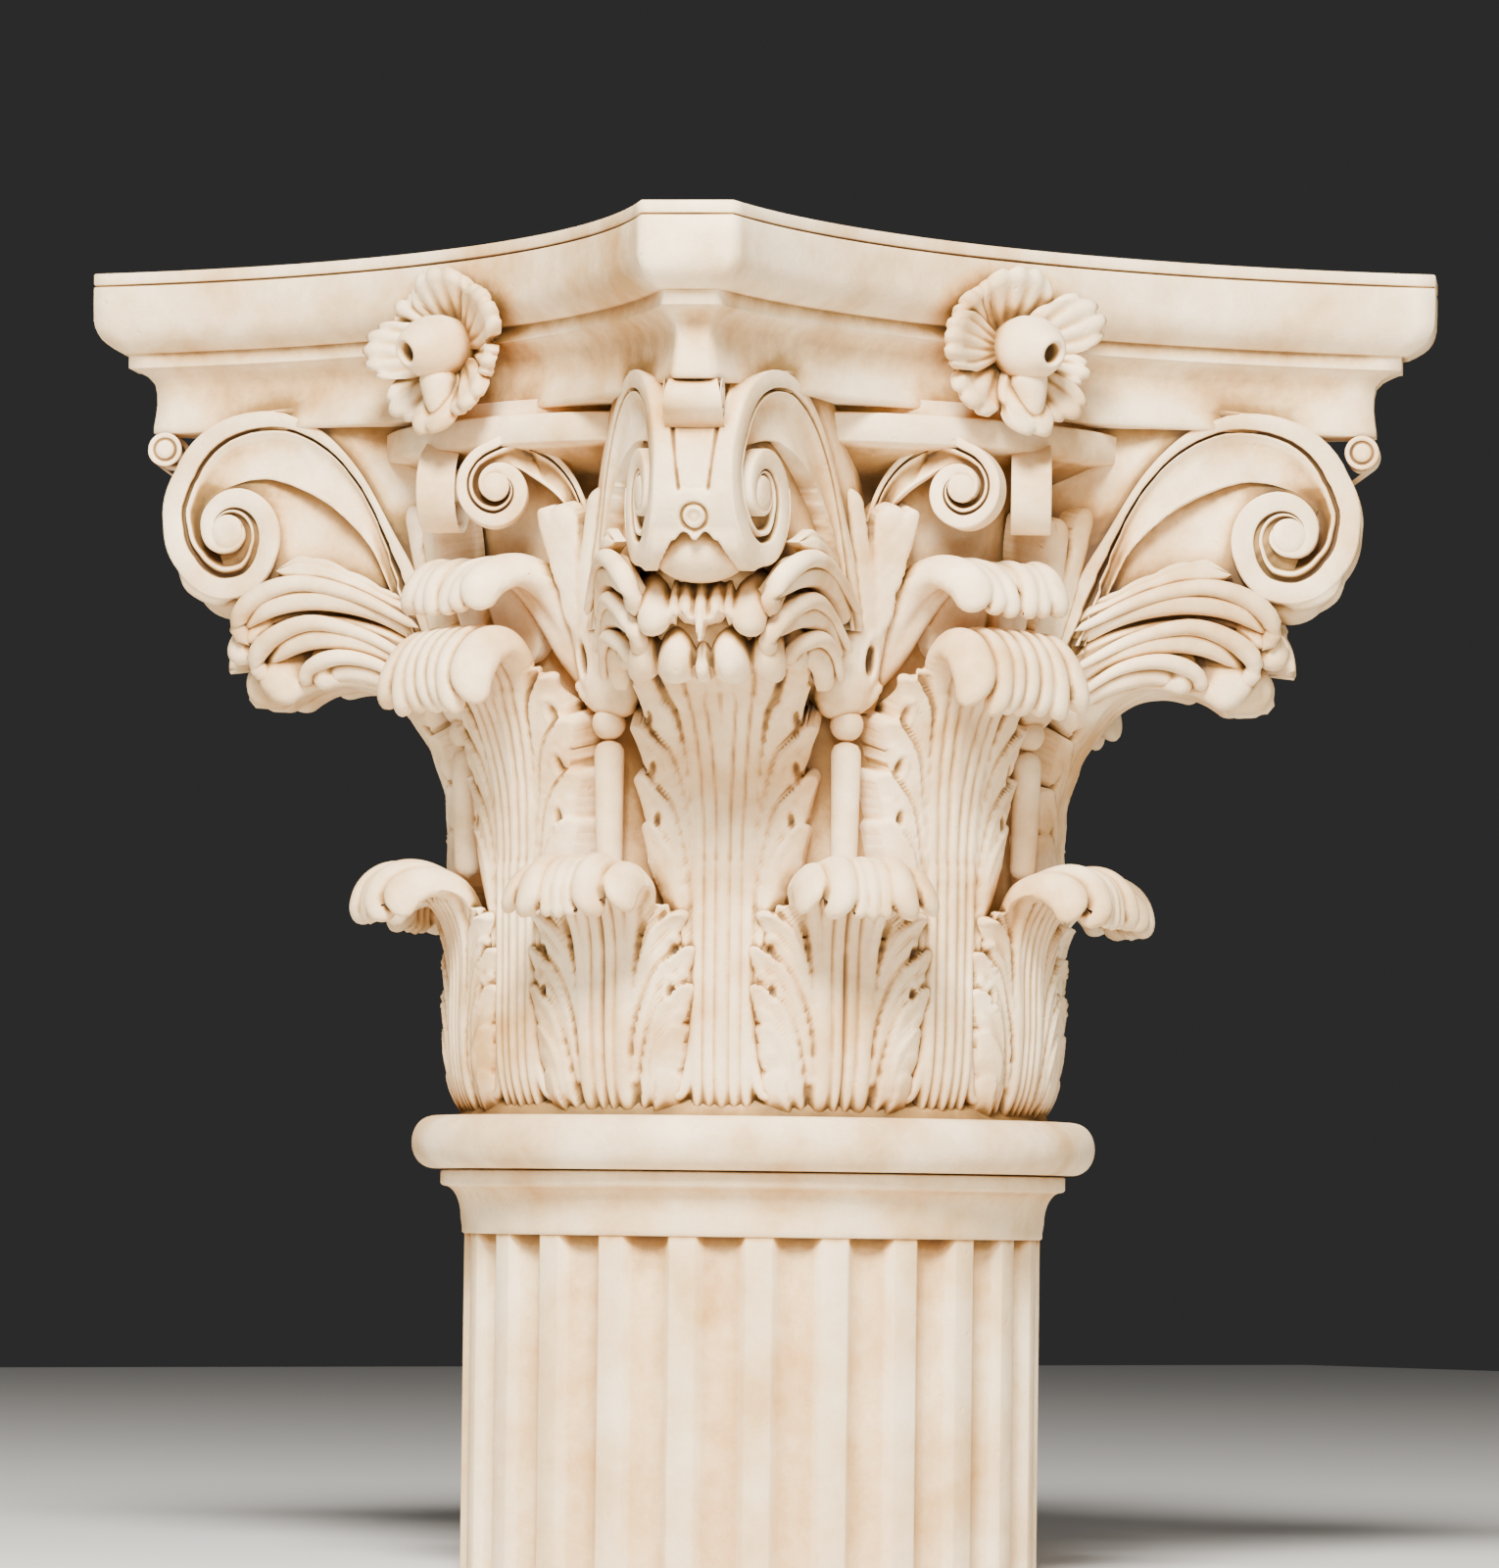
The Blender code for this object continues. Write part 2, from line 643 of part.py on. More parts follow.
def thinned(name, rough, collection, kept):
    """The joined body as triangles, with this share kept, and the turned and moulded parts as they are."""
    graph = bpy.context.evaluated_depsgraph_get()
    source = bpy.data.meshes.new_from_object(rough.evaluated_get(graph))
    source.calc_loop_triangles()
    mesh = bpy.data.meshes.new(name)
    points = [vert.co for vert in source.vertices]
    mesh.from_pydata(points, [], [tuple(triangle.vertices) for triangle in source.loop_triangles])
    obj = add_object(name, mesh, collection)
    plain = obj.vertex_groups.new(name="mouldings")
    torus_top = BELL_FOOT + 0.5 * MM
    upper_moulding = ABACUS_FOOT + 0.4 * ABACUS_HEIGHT
    levels = [point.z for point in points]
    plain.add([i for i, z in enumerate(levels) if z < torus_top or z > upper_moulding], 1.0, "REPLACE")
    fewer = obj.modifiers.new("Fewer faces", "DECIMATE")
    fewer.ratio = kept
    fewer.vertex_group = plain.name
    fewer.invert_vertex_group = True
    bpy.data.objects.remove(rough)
    return obj


def build_capital(collection, carving):
    rough = turned("bell", capital_profile(), collection)
    build_abacus(carving)
    build_leaves(carving)
    build_curls(carving)
    build_volutes(carving)
    build_tongues(carving)
    build_helices(carving)
    build_caulicoles(carving)
    build_flowers(carving)
    joined = rough.modifiers.new("Carving", "BOOLEAN")
    joined.operation = "UNION"
    joined.solver = "EXACT"
    joined.operand_type = "COLLECTION"
    joined.collection = carving
    return thinned("capital", rough, collection, KEPT_FACES)


def main():
    clear_scene()
    column = new_collection("column_capital")
    carving = new_collection("carving")
    helpers = new_collection("shaft_helpers")
    capital = build_capital(column, carving)
    shaft = build_shaft(column, helpers)
    capital.data.materials.append(stone("cast_stone_capital", (0.84, 0.76, 0.65)))
    shaft.data.materials.append(stone("cast_stone_shaft", (0.84, 0.77, 0.67)))


main()
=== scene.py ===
from math import asin, ceil, cos, dist, exp, hypot, pi, radians, sin, sqrt, tau

import bmesh
import bpy
import numpy as np
from mathutils import Matrix, Vector
from mathutils.bvhtree import BVHTree


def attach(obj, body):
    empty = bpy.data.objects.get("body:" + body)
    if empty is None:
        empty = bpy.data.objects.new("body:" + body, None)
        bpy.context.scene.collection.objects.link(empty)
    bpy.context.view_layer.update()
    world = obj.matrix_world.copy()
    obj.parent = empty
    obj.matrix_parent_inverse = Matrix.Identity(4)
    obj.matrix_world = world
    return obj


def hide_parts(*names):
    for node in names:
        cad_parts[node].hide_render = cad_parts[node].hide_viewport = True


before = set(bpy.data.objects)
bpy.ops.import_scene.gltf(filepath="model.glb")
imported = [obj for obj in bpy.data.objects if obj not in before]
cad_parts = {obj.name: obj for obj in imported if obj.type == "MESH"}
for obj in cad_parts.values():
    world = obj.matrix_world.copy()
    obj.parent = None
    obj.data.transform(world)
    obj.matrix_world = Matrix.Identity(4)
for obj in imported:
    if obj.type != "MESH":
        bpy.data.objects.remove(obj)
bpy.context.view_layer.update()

# Corinthian capital, cast stone with a brown antique wash.
# Sizes are in millimetres and turned to metres in makePiece.

mm = 0.001

levels = {  # heights from the shaft's underside, and the main radii
    "flutesTop": 147.0,
    "seam": 174.5,
    "bellFoot": 198.0,
    "bellRadius": 118.0,
    "bellFlare": 23.0,
    "torusRadius": 148.8,
    "lipFoot": 481.0,
    "lipTop": 493.0,
    "lipRadius": 165.5,
    "abacusFoot": 496.2,
}


# small geometry tools

def ramp(x, low, high):
    t = np.clip((x - low) / (high - low), 0, 1)
    return t * t * (3 - 2 * t)


def smoothLine(points, count):
    # Evenly spaced points on a Catmull-Rom curve through the given ones.
    pts = np.array(points, float)
    ends = np.vstack([2 * pts[0] - pts[1], pts, 2 * pts[-1] - pts[-2]])
    t = np.linspace(0, 1, 24, endpoint=False)[:, None]
    parts = []
    for p0, p1, p2, p3 in zip(ends, ends[1:], ends[2:], ends[3:]):
        parts.append(0.5 * (2 * p1 + (p2 - p0) * t + (2 * p0 - 5 * p1 + 4 * p2 - p3) * t**2
                            + (3 * p1 - p0 - 3 * p2 + p3) * t**3))
    line = np.vstack(parts + [pts[-1:]])
    along = np.concatenate([[0], np.cumsum(np.linalg.norm(np.diff(line, axis=0), axis=1))])
    at = np.linspace(0, along[-1], count)
    return np.column_stack([np.interp(at, along, line[:, k]) for k in range(line.shape[1])])


def loft(rings, closed=False):
    # Quads over rows of points. closed also joins each row's last point to its first.
    rings = np.asarray(rings, float)
    rows, cols = rings.shape[:2]
    index = np.arange(rows * cols).reshape(rows, cols)
    here = index if closed else index[:, :-1]
    after = np.roll(index, -1, axis=1) if closed else index[:, 1:]
    faces = np.stack([here[:-1], after[:-1], after[1:], here[1:]], -1).reshape(-1, 4)
    return rings.reshape(-1, 3), faces


def circle(count):
    # Angles round a full turn.
    return np.linspace(0, tau, count, endpoint=False)


def tube(points, radii, sides=14):
    # Round bar along a line, rounded off at both ends.
    line = smoothLine(points, 26)
    share = np.linspace(0, 1, len(line))
    size = np.interp(share, np.linspace(0, 1, len(radii)), radii)
    length = np.linalg.norm(np.diff(line, axis=0), axis=1).sum()
    for reach, gone in ((size[0], share), (size[-1], 1 - share)):
        near = np.clip(gone * length / max(reach, 0.01), 0, 1)
        size = size * np.sqrt(np.clip(1 - (1 - near) ** 2, 0.0004, 1))
    ahead = np.gradient(line, axis=0)
    ahead /= np.linalg.norm(ahead, axis=1)[:, None]
    across = np.cross(ahead, (0, 0, 1))
    across /= np.linalg.norm(across, axis=1)[:, None] + 1e-9
    outward = np.cross(across, ahead)
    turn = circle(sides)
    ring = np.cos(turn)[None, :, None] * across[:, None] + np.sin(turn)[None, :, None] * outward[:, None]
    return loft(line[:, None] + size[:, None, None] * ring, closed=True)


def ball(centre, radii, rows=12, cols=18):
    up = np.linspace(-pi / 2 + 0.02, pi / 2 - 0.02, rows)[:, None]
    turn = circle(cols)[None, :]
    x = radii[0] * np.cos(up) * np.cos(turn)
    y = radii[1] * np.cos(up) * np.sin(turn)
    z = radii[2] * np.sin(up) * np.ones_like(turn)
    return loft(np.stack([x + centre[0], y + centre[1], z + centre[2]], -1), closed=True)


def lathe(profile, steps=192):
    rings = [[(r * cos(a), r * sin(a), z) for a in circle(steps)] for r, z in profile]
    return loft(rings, closed=True)


def turned(shell, degrees):
    verts, faces = shell
    a = radians(degrees)
    spin = np.array([[cos(a), -sin(a), 0], [sin(a), cos(a), 0], [0, 0, 1]])
    return verts @ spin.T, faces


def mirrored(shell):
    verts, faces = shell
    return verts * (1, -1, 1), faces[:, ::-1]


def joined(shells):
    verts, faces, start = [], [], 0
    for v, f in shells:
        verts.append(v)
        faces.append(f + start)
        start += len(v)
    return np.vstack(verts), np.vstack(faces)


# leaves: tapered fingers side by side on a sheet that is bent along a path

def finger(base, control, tip, radii, lift=(0, 0), bulge=1.0, hollow=0.0, tilt=0.0, steps=14):
    # Curved tapered finger in the flat sheet: x across, s along. Radii and lift run from base to tip.
    t = np.linspace(0, 1, steps)[:, None]
    start, middle, end = (np.array(point, float) for point in (base, control, tip))
    line = (1 - t) ** 2 * start + 2 * t * (1 - t) * middle + t**2 * end
    share = t[:, 0]
    return {
        "line": line,
        "radius": np.interp(share, np.linspace(0, 1, len(radii)), radii),
        "lift": np.interp(share, np.linspace(0, 1, len(lift)), lift),
        "bulge": bulge,
        "hollow": hollow,
        "tilt": tilt,
    }


def bothSides(fingers):
    other = []
    for one in fingers:
        if abs(one["line"][:, 0]).max() > 0.01:
            other.append({**one, "line": one["line"] * (-1, 1), "tilt": -one["tilt"]})
    return fingers + other


def fieldOf(fingers, x, s, bulge, soften):
    # Inside distance and dome height of the fingers at points of the sheet.
    inside = np.full(x.shape, -1e3)
    heap = np.zeros(x.shape)
    for one in fingers:
        line, radius, lift = one["line"], one["radius"], one["lift"]
        reach = radius.max() + 3
        low, high = line.min(0) - reach, line.max(0) + reach
        near = (x > low[0]) & (x < high[0]) & (s > low[1]) & (s < high[1])
        fromX, fromS = x[near][:, None] - line[:-1, 0], s[near][:, None] - line[:-1, 1]
        dx, ds = np.diff(line[:, 0]), np.diff(line[:, 1])
        t = np.clip((fromX * dx + fromS * ds) / (dx**2 + ds**2), 0, 1)
        away = np.hypot(fromX - t * dx, fromS - t * ds)
        size = radius[:-1] + t * np.diff(radius)
        best = np.argmax(size - away, axis=1)
        row = np.arange(len(best))
        away, size = away[row, best], size[row, best]
        up = (lift[:-1] + t * np.diff(lift))[row, best]
        f = size - away
        inside[near] = np.maximum(inside[near], f)
        share = np.clip(away / size, 0, 1)
        blade = 1 - one["hollow"] * (1 - share**2)
        side = (dx * fromS - ds * fromX)[row, best] / np.hypot(dx, ds)[best] / size
        dome = up + bulge * one["bulge"] * size * np.sqrt(1 - share**2) * blade
        dome += one["tilt"] * np.clip(side, -1, 1)
        heap[near] += np.where(f > 0, np.exp(np.clip(dome / soften, -40, 40)), 0)
    return inside, soften * np.log(np.maximum(heap, 1e-9))


def bend(line, x, s, h, hug, droop):
    # From the flat sheet to the capital: round the bell, up the path, out by h.
    along = np.concatenate([[0], np.cumsum(np.linalg.norm(np.diff(line, axis=0), axis=1))])
    slope = np.gradient(line, along, axis=0)
    slope /= np.linalg.norm(slope, axis=1)[:, None]
    r, z = (np.interp(s, along, line[:, k]) for k in (0, 1))
    tr, tz = (np.interp(s, along, slope[:, k]) for k in (0, 1))
    core = np.minimum(r, hug)
    turn = x / core
    fall = droop[0] * ramp(s, droop[1], along[-1]) * (x / 30) ** 2
    out = r + tz * h - core
    return np.stack([core * np.cos(turn) + out, core * np.sin(turn), z - tr * h - fall], -1)


def frond(leaf):
    # Leaf from its fingers: front domes, back domes and a rim, all bent along the leaf's path.
    foot, bell = levels["bellFoot"], levels["bellRadius"]
    line = smoothLine([(bell + out, foot + up) for out, up in leaf["path"]], 260)
    grain = leaf["grain"]  # spacing of the sheet's points
    spread = np.vstack([one["line"] for one in leaf["fingers"]])
    margin = max(one["radius"].max() for one in leaf["fingers"]) + 2 * grain
    low, high = spread.min(0) - margin, spread.max(0) + margin
    cols, rows = (int(ceil(d / grain)) + 1 for d in high - low)
    x, s = np.meshgrid(np.linspace(low[0], high[0], cols), np.linspace(low[1], high[1], rows))
    inside, _ = fieldOf(leaf["fingers"], x, s, 1, 0.5)
    keep = np.max((inside[:-1, :-1], inside[1:, :-1], inside[:-1, 1:], inside[1:, 1:]), axis=0) > 0
    gs, gx = np.gradient(inside, s[1, 0] - s[0, 0], x[0, 1] - x[0, 0])
    steep = np.maximum(gx**2 + gs**2, 0.5)
    pull = np.where(inside < 0, np.clip(-inside, 0, 1.6 * grain), 0)
    x, s = x + gx / steep * pull, s + gs / steep * pull
    inside, dome = fieldOf(leaf["fingers"], x, s, leaf["bulge"], 0.7)  # 0.7 mm soft valleys
    length = np.linalg.norm(np.diff(line, axis=0), axis=1).sum()
    s = np.clip(s, 0, length)
    curl = ramp(s, *leaf["curl"])
    flute = np.where(inside > 0, np.maximum(dome, 0), 0)
    front = leaf["sink"] + flute
    flat = leaf["thick"] * np.sqrt(np.clip(inside / 6, 0, 1))
    shown = ramp(s, *leaf["flutes"])
    top = flat * (1 - shown) + np.minimum(flute * leaf.get("topBulge", 1.0), 15) * shown
    for across, along, wide, long, deep in leaf.get("eyes", ()):  # drilled teardrops with a raised lip
        away = np.hypot((np.abs(x) - across) / wide, (s - along) / long)
        front -= deep * (1 - ramp(away, 0.45, 1.0)) * (inside > 0.5)
        front += 0.8 * np.exp(-(((away - 1.3) / 0.22) ** 2)) * (inside > 0.5)
    for across, along, wide, long, deep in leaf.get("pits", ()):  # the same on one side only
        away = np.hypot((x - across) / wide, (s - along) / long)
        front += 1.0 * np.exp(-(((away - 1.35) / 0.25) ** 2)) - deep * (1 - ramp(away, 0.5, 1.05))
    back = leaf["sink"] - leaf["root"] * (1 - curl) - (0.4 + top) * curl
    row, col = keep.nonzero()
    index = np.arange(rows * cols).reshape(rows, cols)
    corners = ((0, 0), (0, 1), (1, 1), (1, 0))
    quads = np.stack([index[row + down, col + over] for down, over in corners], -1)
    edges = np.concatenate([quads[:, [k, (k + 1) % 4]] for k in range(4)])
    _, first, count = np.unique(np.sort(edges, axis=1), axis=0, return_index=True, return_counts=True)
    rim = edges[first[count == 1]]
    total = rows * cols
    behind = quads[curl.ravel()[quads].max(1) > 0.01, ::-1] + total
    edge = np.stack([rim[:, 1], rim[:, 0], rim[:, 0] + total, rim[:, 1] + total], -1)
    quads = np.vstack([quads, behind, edge])
    hug = leaf.get("hug", 138)
    x, s = x.ravel(), s.ravel()
    verts = np.concatenate([bend(line, x, s, h.ravel(), hug, leaf["droop"]) for h in (front, back)])
    used, quads = np.unique(quads, return_inverse=True)
    return verts[used], quads.reshape(-1, 4)


# pieces of the capital, each a list of shells for one quarter

abacus = {  # from the axis: cut corner and hollow side; half the width of the cut
    "corner": 293.9,
    "waist": 169.3,
    "halfCut": 19.2,
}


def abacusPlan(height, cornerIn, sideIn, steps=44):
    # One level of the abacus: four hollow sides between cut corners.
    corner, waist, half = abacus["corner"], abacus["waist"], abacus["halfCut"]
    endX, endY = (corner + half) * sqrt(0.5), (corner - half) * sqrt(0.5)
    sag = endX - waist
    hollow = (endY**2 + sag**2) / (2 * sag)
    centre, radius, reach = waist + hollow, hollow + sideIn, corner - cornerIn
    linear = centre * sqrt(2)
    constant = reach**2 - linear * reach + centre**2 - radius**2
    aside = (linear - sqrt(linear**2 - 4 * constant)) / 2
    swing = asin((reach - aside) * sqrt(0.5) / radius)
    ring = []
    for side in range(4):
        a = radians(90 * side)
        for step in range(steps + 1):
            turn = swing * (2 * step / steps - 1)
            x, y = centre - radius * cos(turn), radius * sin(turn)
            ring.append((x * cos(a) - y * sin(a), x * sin(a) + y * cos(a), height))
    points = []
    for one, other in zip(ring, ring[1:] + ring[:1]):
        points.append(one)
        if dist(one, other) > 1 and abs(abs(one[0]) - abs(other[1])) < 0.01:  # over the cut corner
            for share in (0.08, 0.36, 0.64, 0.92):
                points.append(tuple(p + (q - p) * share for p, q in zip(one, other)))
    return points


def abacusShells():
    profile = [  # height above the foot, set-back at the corner, set-back at the side
        (0, 26.4, 19.2), (0.5, 25.6, 18.4), (3, 25.6, 18.4), (8, 26.3, 19.4), (13, 26.8, 20),
        (18, 26.6, 19.8), (22, 25.8, 18.6), (25, 23.2, 16.2), (27, 19.8, 14), (28.4, 16.6, 12.4),
        (28.7, 14.9, 11.7), (29, 14.6, 11.6), (34.4, 14.6, 11.6), (34.8, 14.2, 11.3), (35, 12.6, 10),
        (35.4, 11.6, 9), (37, 8.6, 7), (39, 5.6, 4.6), (41, 3.4, 2.9), (43.5, 1.8, 1.4), (46, 0.8, 0.5),
        (49, 0.2, 0), (56, 0, 0), (63, 0, 0), (63.5, 0.2, 0.2), (63.8, 1.1, 1.1), (64.3, 1.1, 1.1),
        (64.6, 0.2, 0.2), (65, 0, 0), (69, 0, 0), (69.5, 0.4, 0.4), (69.7, 1.2, 1.2),
    ]
    rings = [abacusPlan(levels["abacusFoot"] + up, c, s) for up, c, s in profile]
    for ring, order in ((rings[0], 0), (rings[-1], len(rings) + 1)):  # flat lids over the open middle
        rings.insert(order, [(x * 0.01, y * 0.01, z) for x, y, z in ring])
    return [loft(rings, closed=True)]


def bellShells():
    foot, bell = levels["bellFoot"], levels["bellRadius"]
    seat = levels["seam"] + 0.4
    half = (foot - seat) / 2
    profile = [(60, seat), (134, seat)]
    for step in range(19):
        a = radians(-90 + 10 * step)
        swell = cos(a) ** 0.8 if abs(a) < 1.57 else 0
        profile.append((levels["torusRadius"] - half + half * swell, seat + half * (1 + sin(a))))
    profile += [(bell + 10.5, foot), (bell + 9, foot + 4), (bell + 4, foot + 9)]  # under the leaves
    for step in range(1, 25):
        share = step / 24 * 0.955
        profile.append((bell + levels["bellFlare"] * share**4, foot + (levels["lipFoot"] - foot) * share))
    lip, under, top = levels["lipRadius"], levels["lipFoot"], levels["lipTop"]
    profile += [(lip - 9, under - 2.4), (lip - 1, under - 0.6), (lip, under + 0.4), (lip, top - 1),
                (lip - 0.8, top), (lip - 8, top), (lip - 8.4, top + 7), (60, top + 7)]
    return [lathe(profile)]


shaft = {
    "radius": 125.0,
    "flutes": 24,
    "fluteWidth": 21.0,
    "fluteDepth": 7.2,
}


def shaftShells():
    count, depth, radius = shaft["flutes"], shaft["fluteDepth"], shaft["radius"]
    half = asin(shaft["fluteWidth"] / 2 / radius)
    plan = []
    for flute in range(count):
        middle = tau * flute / count
        for across in np.linspace(-1, 1, 15):
            r = radius - depth * (1 - across**2) ** 0.75
            plan.append((r, middle + across * half))
        gap = tau / count - 2 * half
        for share in (0.07, 0.5, 0.93):
            plan.append((radius + 0.25, middle + half + gap * share))
    foot, seam = levels["flutesTop"], levels["seam"]
    rows = list(np.linspace(0, foot - 9, 14)) + [foot - 5, foot - 2, foot + 0.5]
    fluted = loft([[(r * cos(a), r * sin(a), z) for r, a in plan] for z in rows], closed=True)
    neck = [(60, foot), (124, foot), (125.6, foot), (126.3, foot + 0.6), (126.4, foot + 3), (127, foot + 7)]
    for step in range(1, 9):
        a = radians(90 * step / 8)
        neck.append((127 + 7.4 * (1 - cos(a)), foot + 7 + 13.6 * sin(a)))
    seat = seam - 0.1
    neck += [(135.4, foot + 21), (136, foot + 21.6), (136, seam - 0.8), (135.4, seat), (60, seat)]
    under = lathe([(2, 0), (60, 0), (124.5 - depth, 0)])
    return [fluted, lathe(neck), under]


def leaflets(tips, roots, drop, size):
    # Along one edge of a leaf: tilted blades, high along the inner edge, with smaller points beside them.
    blades = ((0, 0, 1.0, 1.8, 0.5), (2.6, -9.5, 0.62, 1.5, 0.3), (6.0, 4.0, 0.55, -0.5, 0.2))
    fingers = []
    for (across, up), root in zip(tips, roots):
        for inward, lower, part, rise, hollow in blades:
            wide = size * part
            base = root - 0.12 * inward
            tip = (across - inward, up + lower)
            knee = (base + 0.20 * (tip[0] - base), up - 0.34 * drop + lower)
            radii = (1.3, 2.4, 4.2 * part, wide * 1.05, wide * 0.5)
            lift = (0, 0, 0.2, 0.6 * rise, rise)
            fingers.append(finger((base, up - drop), knee, tip, radii, lift, 0.7, hollow, 2.1 * part))
    return fingers


def lowerLeaf():
    fingers = [finger((0, 90), (0, 104), (0, 113), (16, 26, 29), (0, 0), 0.07)]
    fingers.append(finger((0, 98), (0, 118), (0, 148), (2.4, 2.6, 2.8), (0, 1)))
    flutes = ((2.6, 3.4, 5.4, 147, 3.0), (7.6, 9.8, 13.8, 140.5, 6.7), (9.6, 17.0, 25.2, 131, 6.4))
    for start, middle, end, length, size in flutes:
        fingers.append(finger((start, -2), (start + 0.3, 84), (middle, 101), (2.6, 2.8, 3.4), bulge=1.35))
        radii = (3.2, size * 0.86, size)
        fingers.append(finger((middle, 98), (end * 0.92, 112), (end, length), radii, (0, 0.5)))
    fingers += leaflets(((33.5, 42), (38, 59), (39, 75), (35, 91)), (21, 17.5, 14.5, 12.5), 54, 6.0)
    fingers.append(finger((12, -4), (27, 2), (29, 22), (3, 5.0, 4.2), (0, 1.5), 0.7, 0.4, 1.8))
    fingers.append(finger((10, 0), (22, 12), (24, 40), (2.2, 3.4, 2.6), (0, 0.8), 0.8))
    fingers.append(finger((0, 6), (0, 24), (0, 44), (25, 25, 20), (-1, -1), 0.03))
    return {
        "path": [(3, -4), (12, 12), (15, 35), (15, 64), (17, 80), (23, 93), (34, 101.5), (45, 103),
                 (52.5, 97), (53.5, 86), (50, 80)],
        "fingers": bothSides(fingers), "bulge": 0.95, "sink": -1.0, "root": 16, "thick": 7.0, "grain": 1.2,
        "curl": (78, 96), "flutes": (108, 130), "droop": (17, 84),
        "eyes": ((31.5, 76, 1.8, 4.4, 1.8), (31, 59, 1.8, 4.4, 1.8)),
    }


def upperLeaf(path, stretch, curlTips, droop):
    # Second row: a fluted stem that opens into lobes and curls over. stretch moves the lobes up or down.
    fingers = [finger((0, 186), (0, 200), (0, 216), (16, 21, 24), (0, 0), 0.08)]
    for number, start in enumerate((0.01, 5.2, 10.4)):
        fingers.append(finger((start, 6), (start, 60), (start, 112), (2.7, 2.6, 2.8), bulge=1.4))
        middle = (3.4, 10.0, 16.6)[number]
        fingers.append(finger((start, 108), (start + 0.5, 150), (middle, 186), (2.8, 3.0, 3.6), bulge=1.2))
        across, length, size = curlTips[number]
        radii = (3.4, size * 0.88, size)
        fingers.append(finger((middle, 182), (across * 0.85, 200), (across, length), radii, (0, 0.5)))
    fingers.append(finger((11.5, 60), (12.5, 8), (21, 15), (1.6, 2.4, 3.2), (0, 0.6)))
    tips = [(across, up + stretch) for across, up in ((33, 127), (36.5, 147), (37.5, 170), (35, 191))]
    fingers += leaflets(tips, (15, 14, 13.5, 14), 74, 6.2)
    return {
        "path": path, "fingers": bothSides(fingers), "bulge": 0.95, "sink": -1.0, "root": 18, "thick": 7.0,
        "curl": (172, 190), "flutes": (204, 226), "droop": droop, "grain": 1.25,
        "eyes": [(x, s + stretch, wide, long, deep) for x, s, wide, long, deep in
                 ((31.5, 176, 2.0, 5, 2.4), (30.5, 153, 2.0, 4.8, 2.2), (28.5, 131, 1.8, 4.4, 1.8))],
    }


def cornerLeaf():
    path = [(2, -4), (12, 20), (13.5, 75), (13.5, 110), (15.5, 140), (25, 165), (42, 186), (60, 194),
            (76, 193.5), (89, 188), (96, 180), (96.5, 174)]
    leaf = upperLeaf(path, 0, ((5.5, 240, 5.0), (11.0, 255, 8.6), (25.5, 250, 7.8)), (5, 190))
    leaf["fingers"].append(finger((0, 190), (0, 220), (0, 261), (3, 3, 2.8), (0, 3.5)))
    leaf["fingers"] += bothSides([finger((24, 176), (37, 196), (34, 232), (3, 6, 6.4), (0, 1))])
    leaf["topBulge"] = 1.75
    return leaf


def middleLeaf():
    path = [(2, -4), (12, 20), (13.5, 75), (13.5, 110), (15.5, 140), (21.5, 166), (31, 188), (42, 200),
            (53, 200.5), (61, 193), (62.5, 182), (58, 175), (51, 174)]
    leaf = upperLeaf(path, 2, ((8.2, 254, 3.9), (16.4, 250, 5.2), (27.2, 238, 7.6)), (14, 184))
    leaf["fingers"].append(finger((0, 186), (0, 220), (0, 256), (3, 3.4, 3.9), (0, 0.5)))
    return leaf


def cornerCurl():
    # Third tier at the corners: two calyx leaves that meet in a pointed tongue between balls.
    fingers = [finger((0, 30), (0, 60), (0, 84), (16, 20, 20), (0, 0), 0.1)]
    fingers.append(finger((0, 60), (0, 90), (0, 113), (9, 10, 11.5), (2.0, 3.0), 0.1))
    fingers.append(finger((0, 60), (0, 90), (0, 130), (2, 2.6, 3.6, 1.2), (3, 5.5), 0.9))
    fingers += bothSides([
        finger((4, 60), (5.5, 90), (6.2, 120), (2, 2.6, 3.2, 2.2), (2.5, 5.0), 0.8),
        finger((8, 60), (10.4, 90), (11.6, 122), (2, 2.6, 3.0, 1.0), (2, 4.8), 0.9),
        finger((44, 2), (26, 40), (19.6, 121), (9, 9, 8, 7.2), (0, 0.5), 0.95),
        finger((50, 10), (34, 44), (26, 112), (8, 8, 6.5), (0, -1), 0.9),
    ])
    return {
        "path": [(6, 176), (22, 196), (40, 208), (58, 215), (78, 218), (95, 215), (105, 207),
                 (108.5, 197), (107.5, 188)],
        "fingers": fingers, "bulge": 0.95, "sink": -1.0, "root": 14, "thick": 8.0,
        "curl": (30, 60), "flutes": (70, 90), "droop": (3, 60), "hug": 150, "grain": 1.35,
    }


def middleCurl():
    # Third tier under the helices: the calyx leaves of both caulicoles, curled over in three fat flutes.
    fingers = [finger((0, 34), (0, 50), (0, 70), (14, 18, 18), (0, 0), 0.1)]
    flutes = ((50, 5.0, 95, 4.4), (48, 12.5, 93, 4.6), (46, 22, 87, 7.4), (40, 27, 78, 5.5))
    for base, end, length, size in flutes:
        radii = (6.0, 6.5, size * 0.9, size)
        fingers.append(finger((base, 0), (end + 12, 34), (end, length), radii, (0, 0.5)))
    return {
        "path": [(6, 172), (12, 192), (17, 208), (25, 222), (36, 230), (47, 229), (54, 221), (54, 212),
                 (50, 206)],
        "fingers": bothSides(fingers), "bulge": 0.9, "sink": -1.0, "root": 14, "thick": 8.0,
        "curl": (34, 52), "flutes": (60, 76), "droop": (8, 50), "hug": 150, "grain": 1.3,
    }


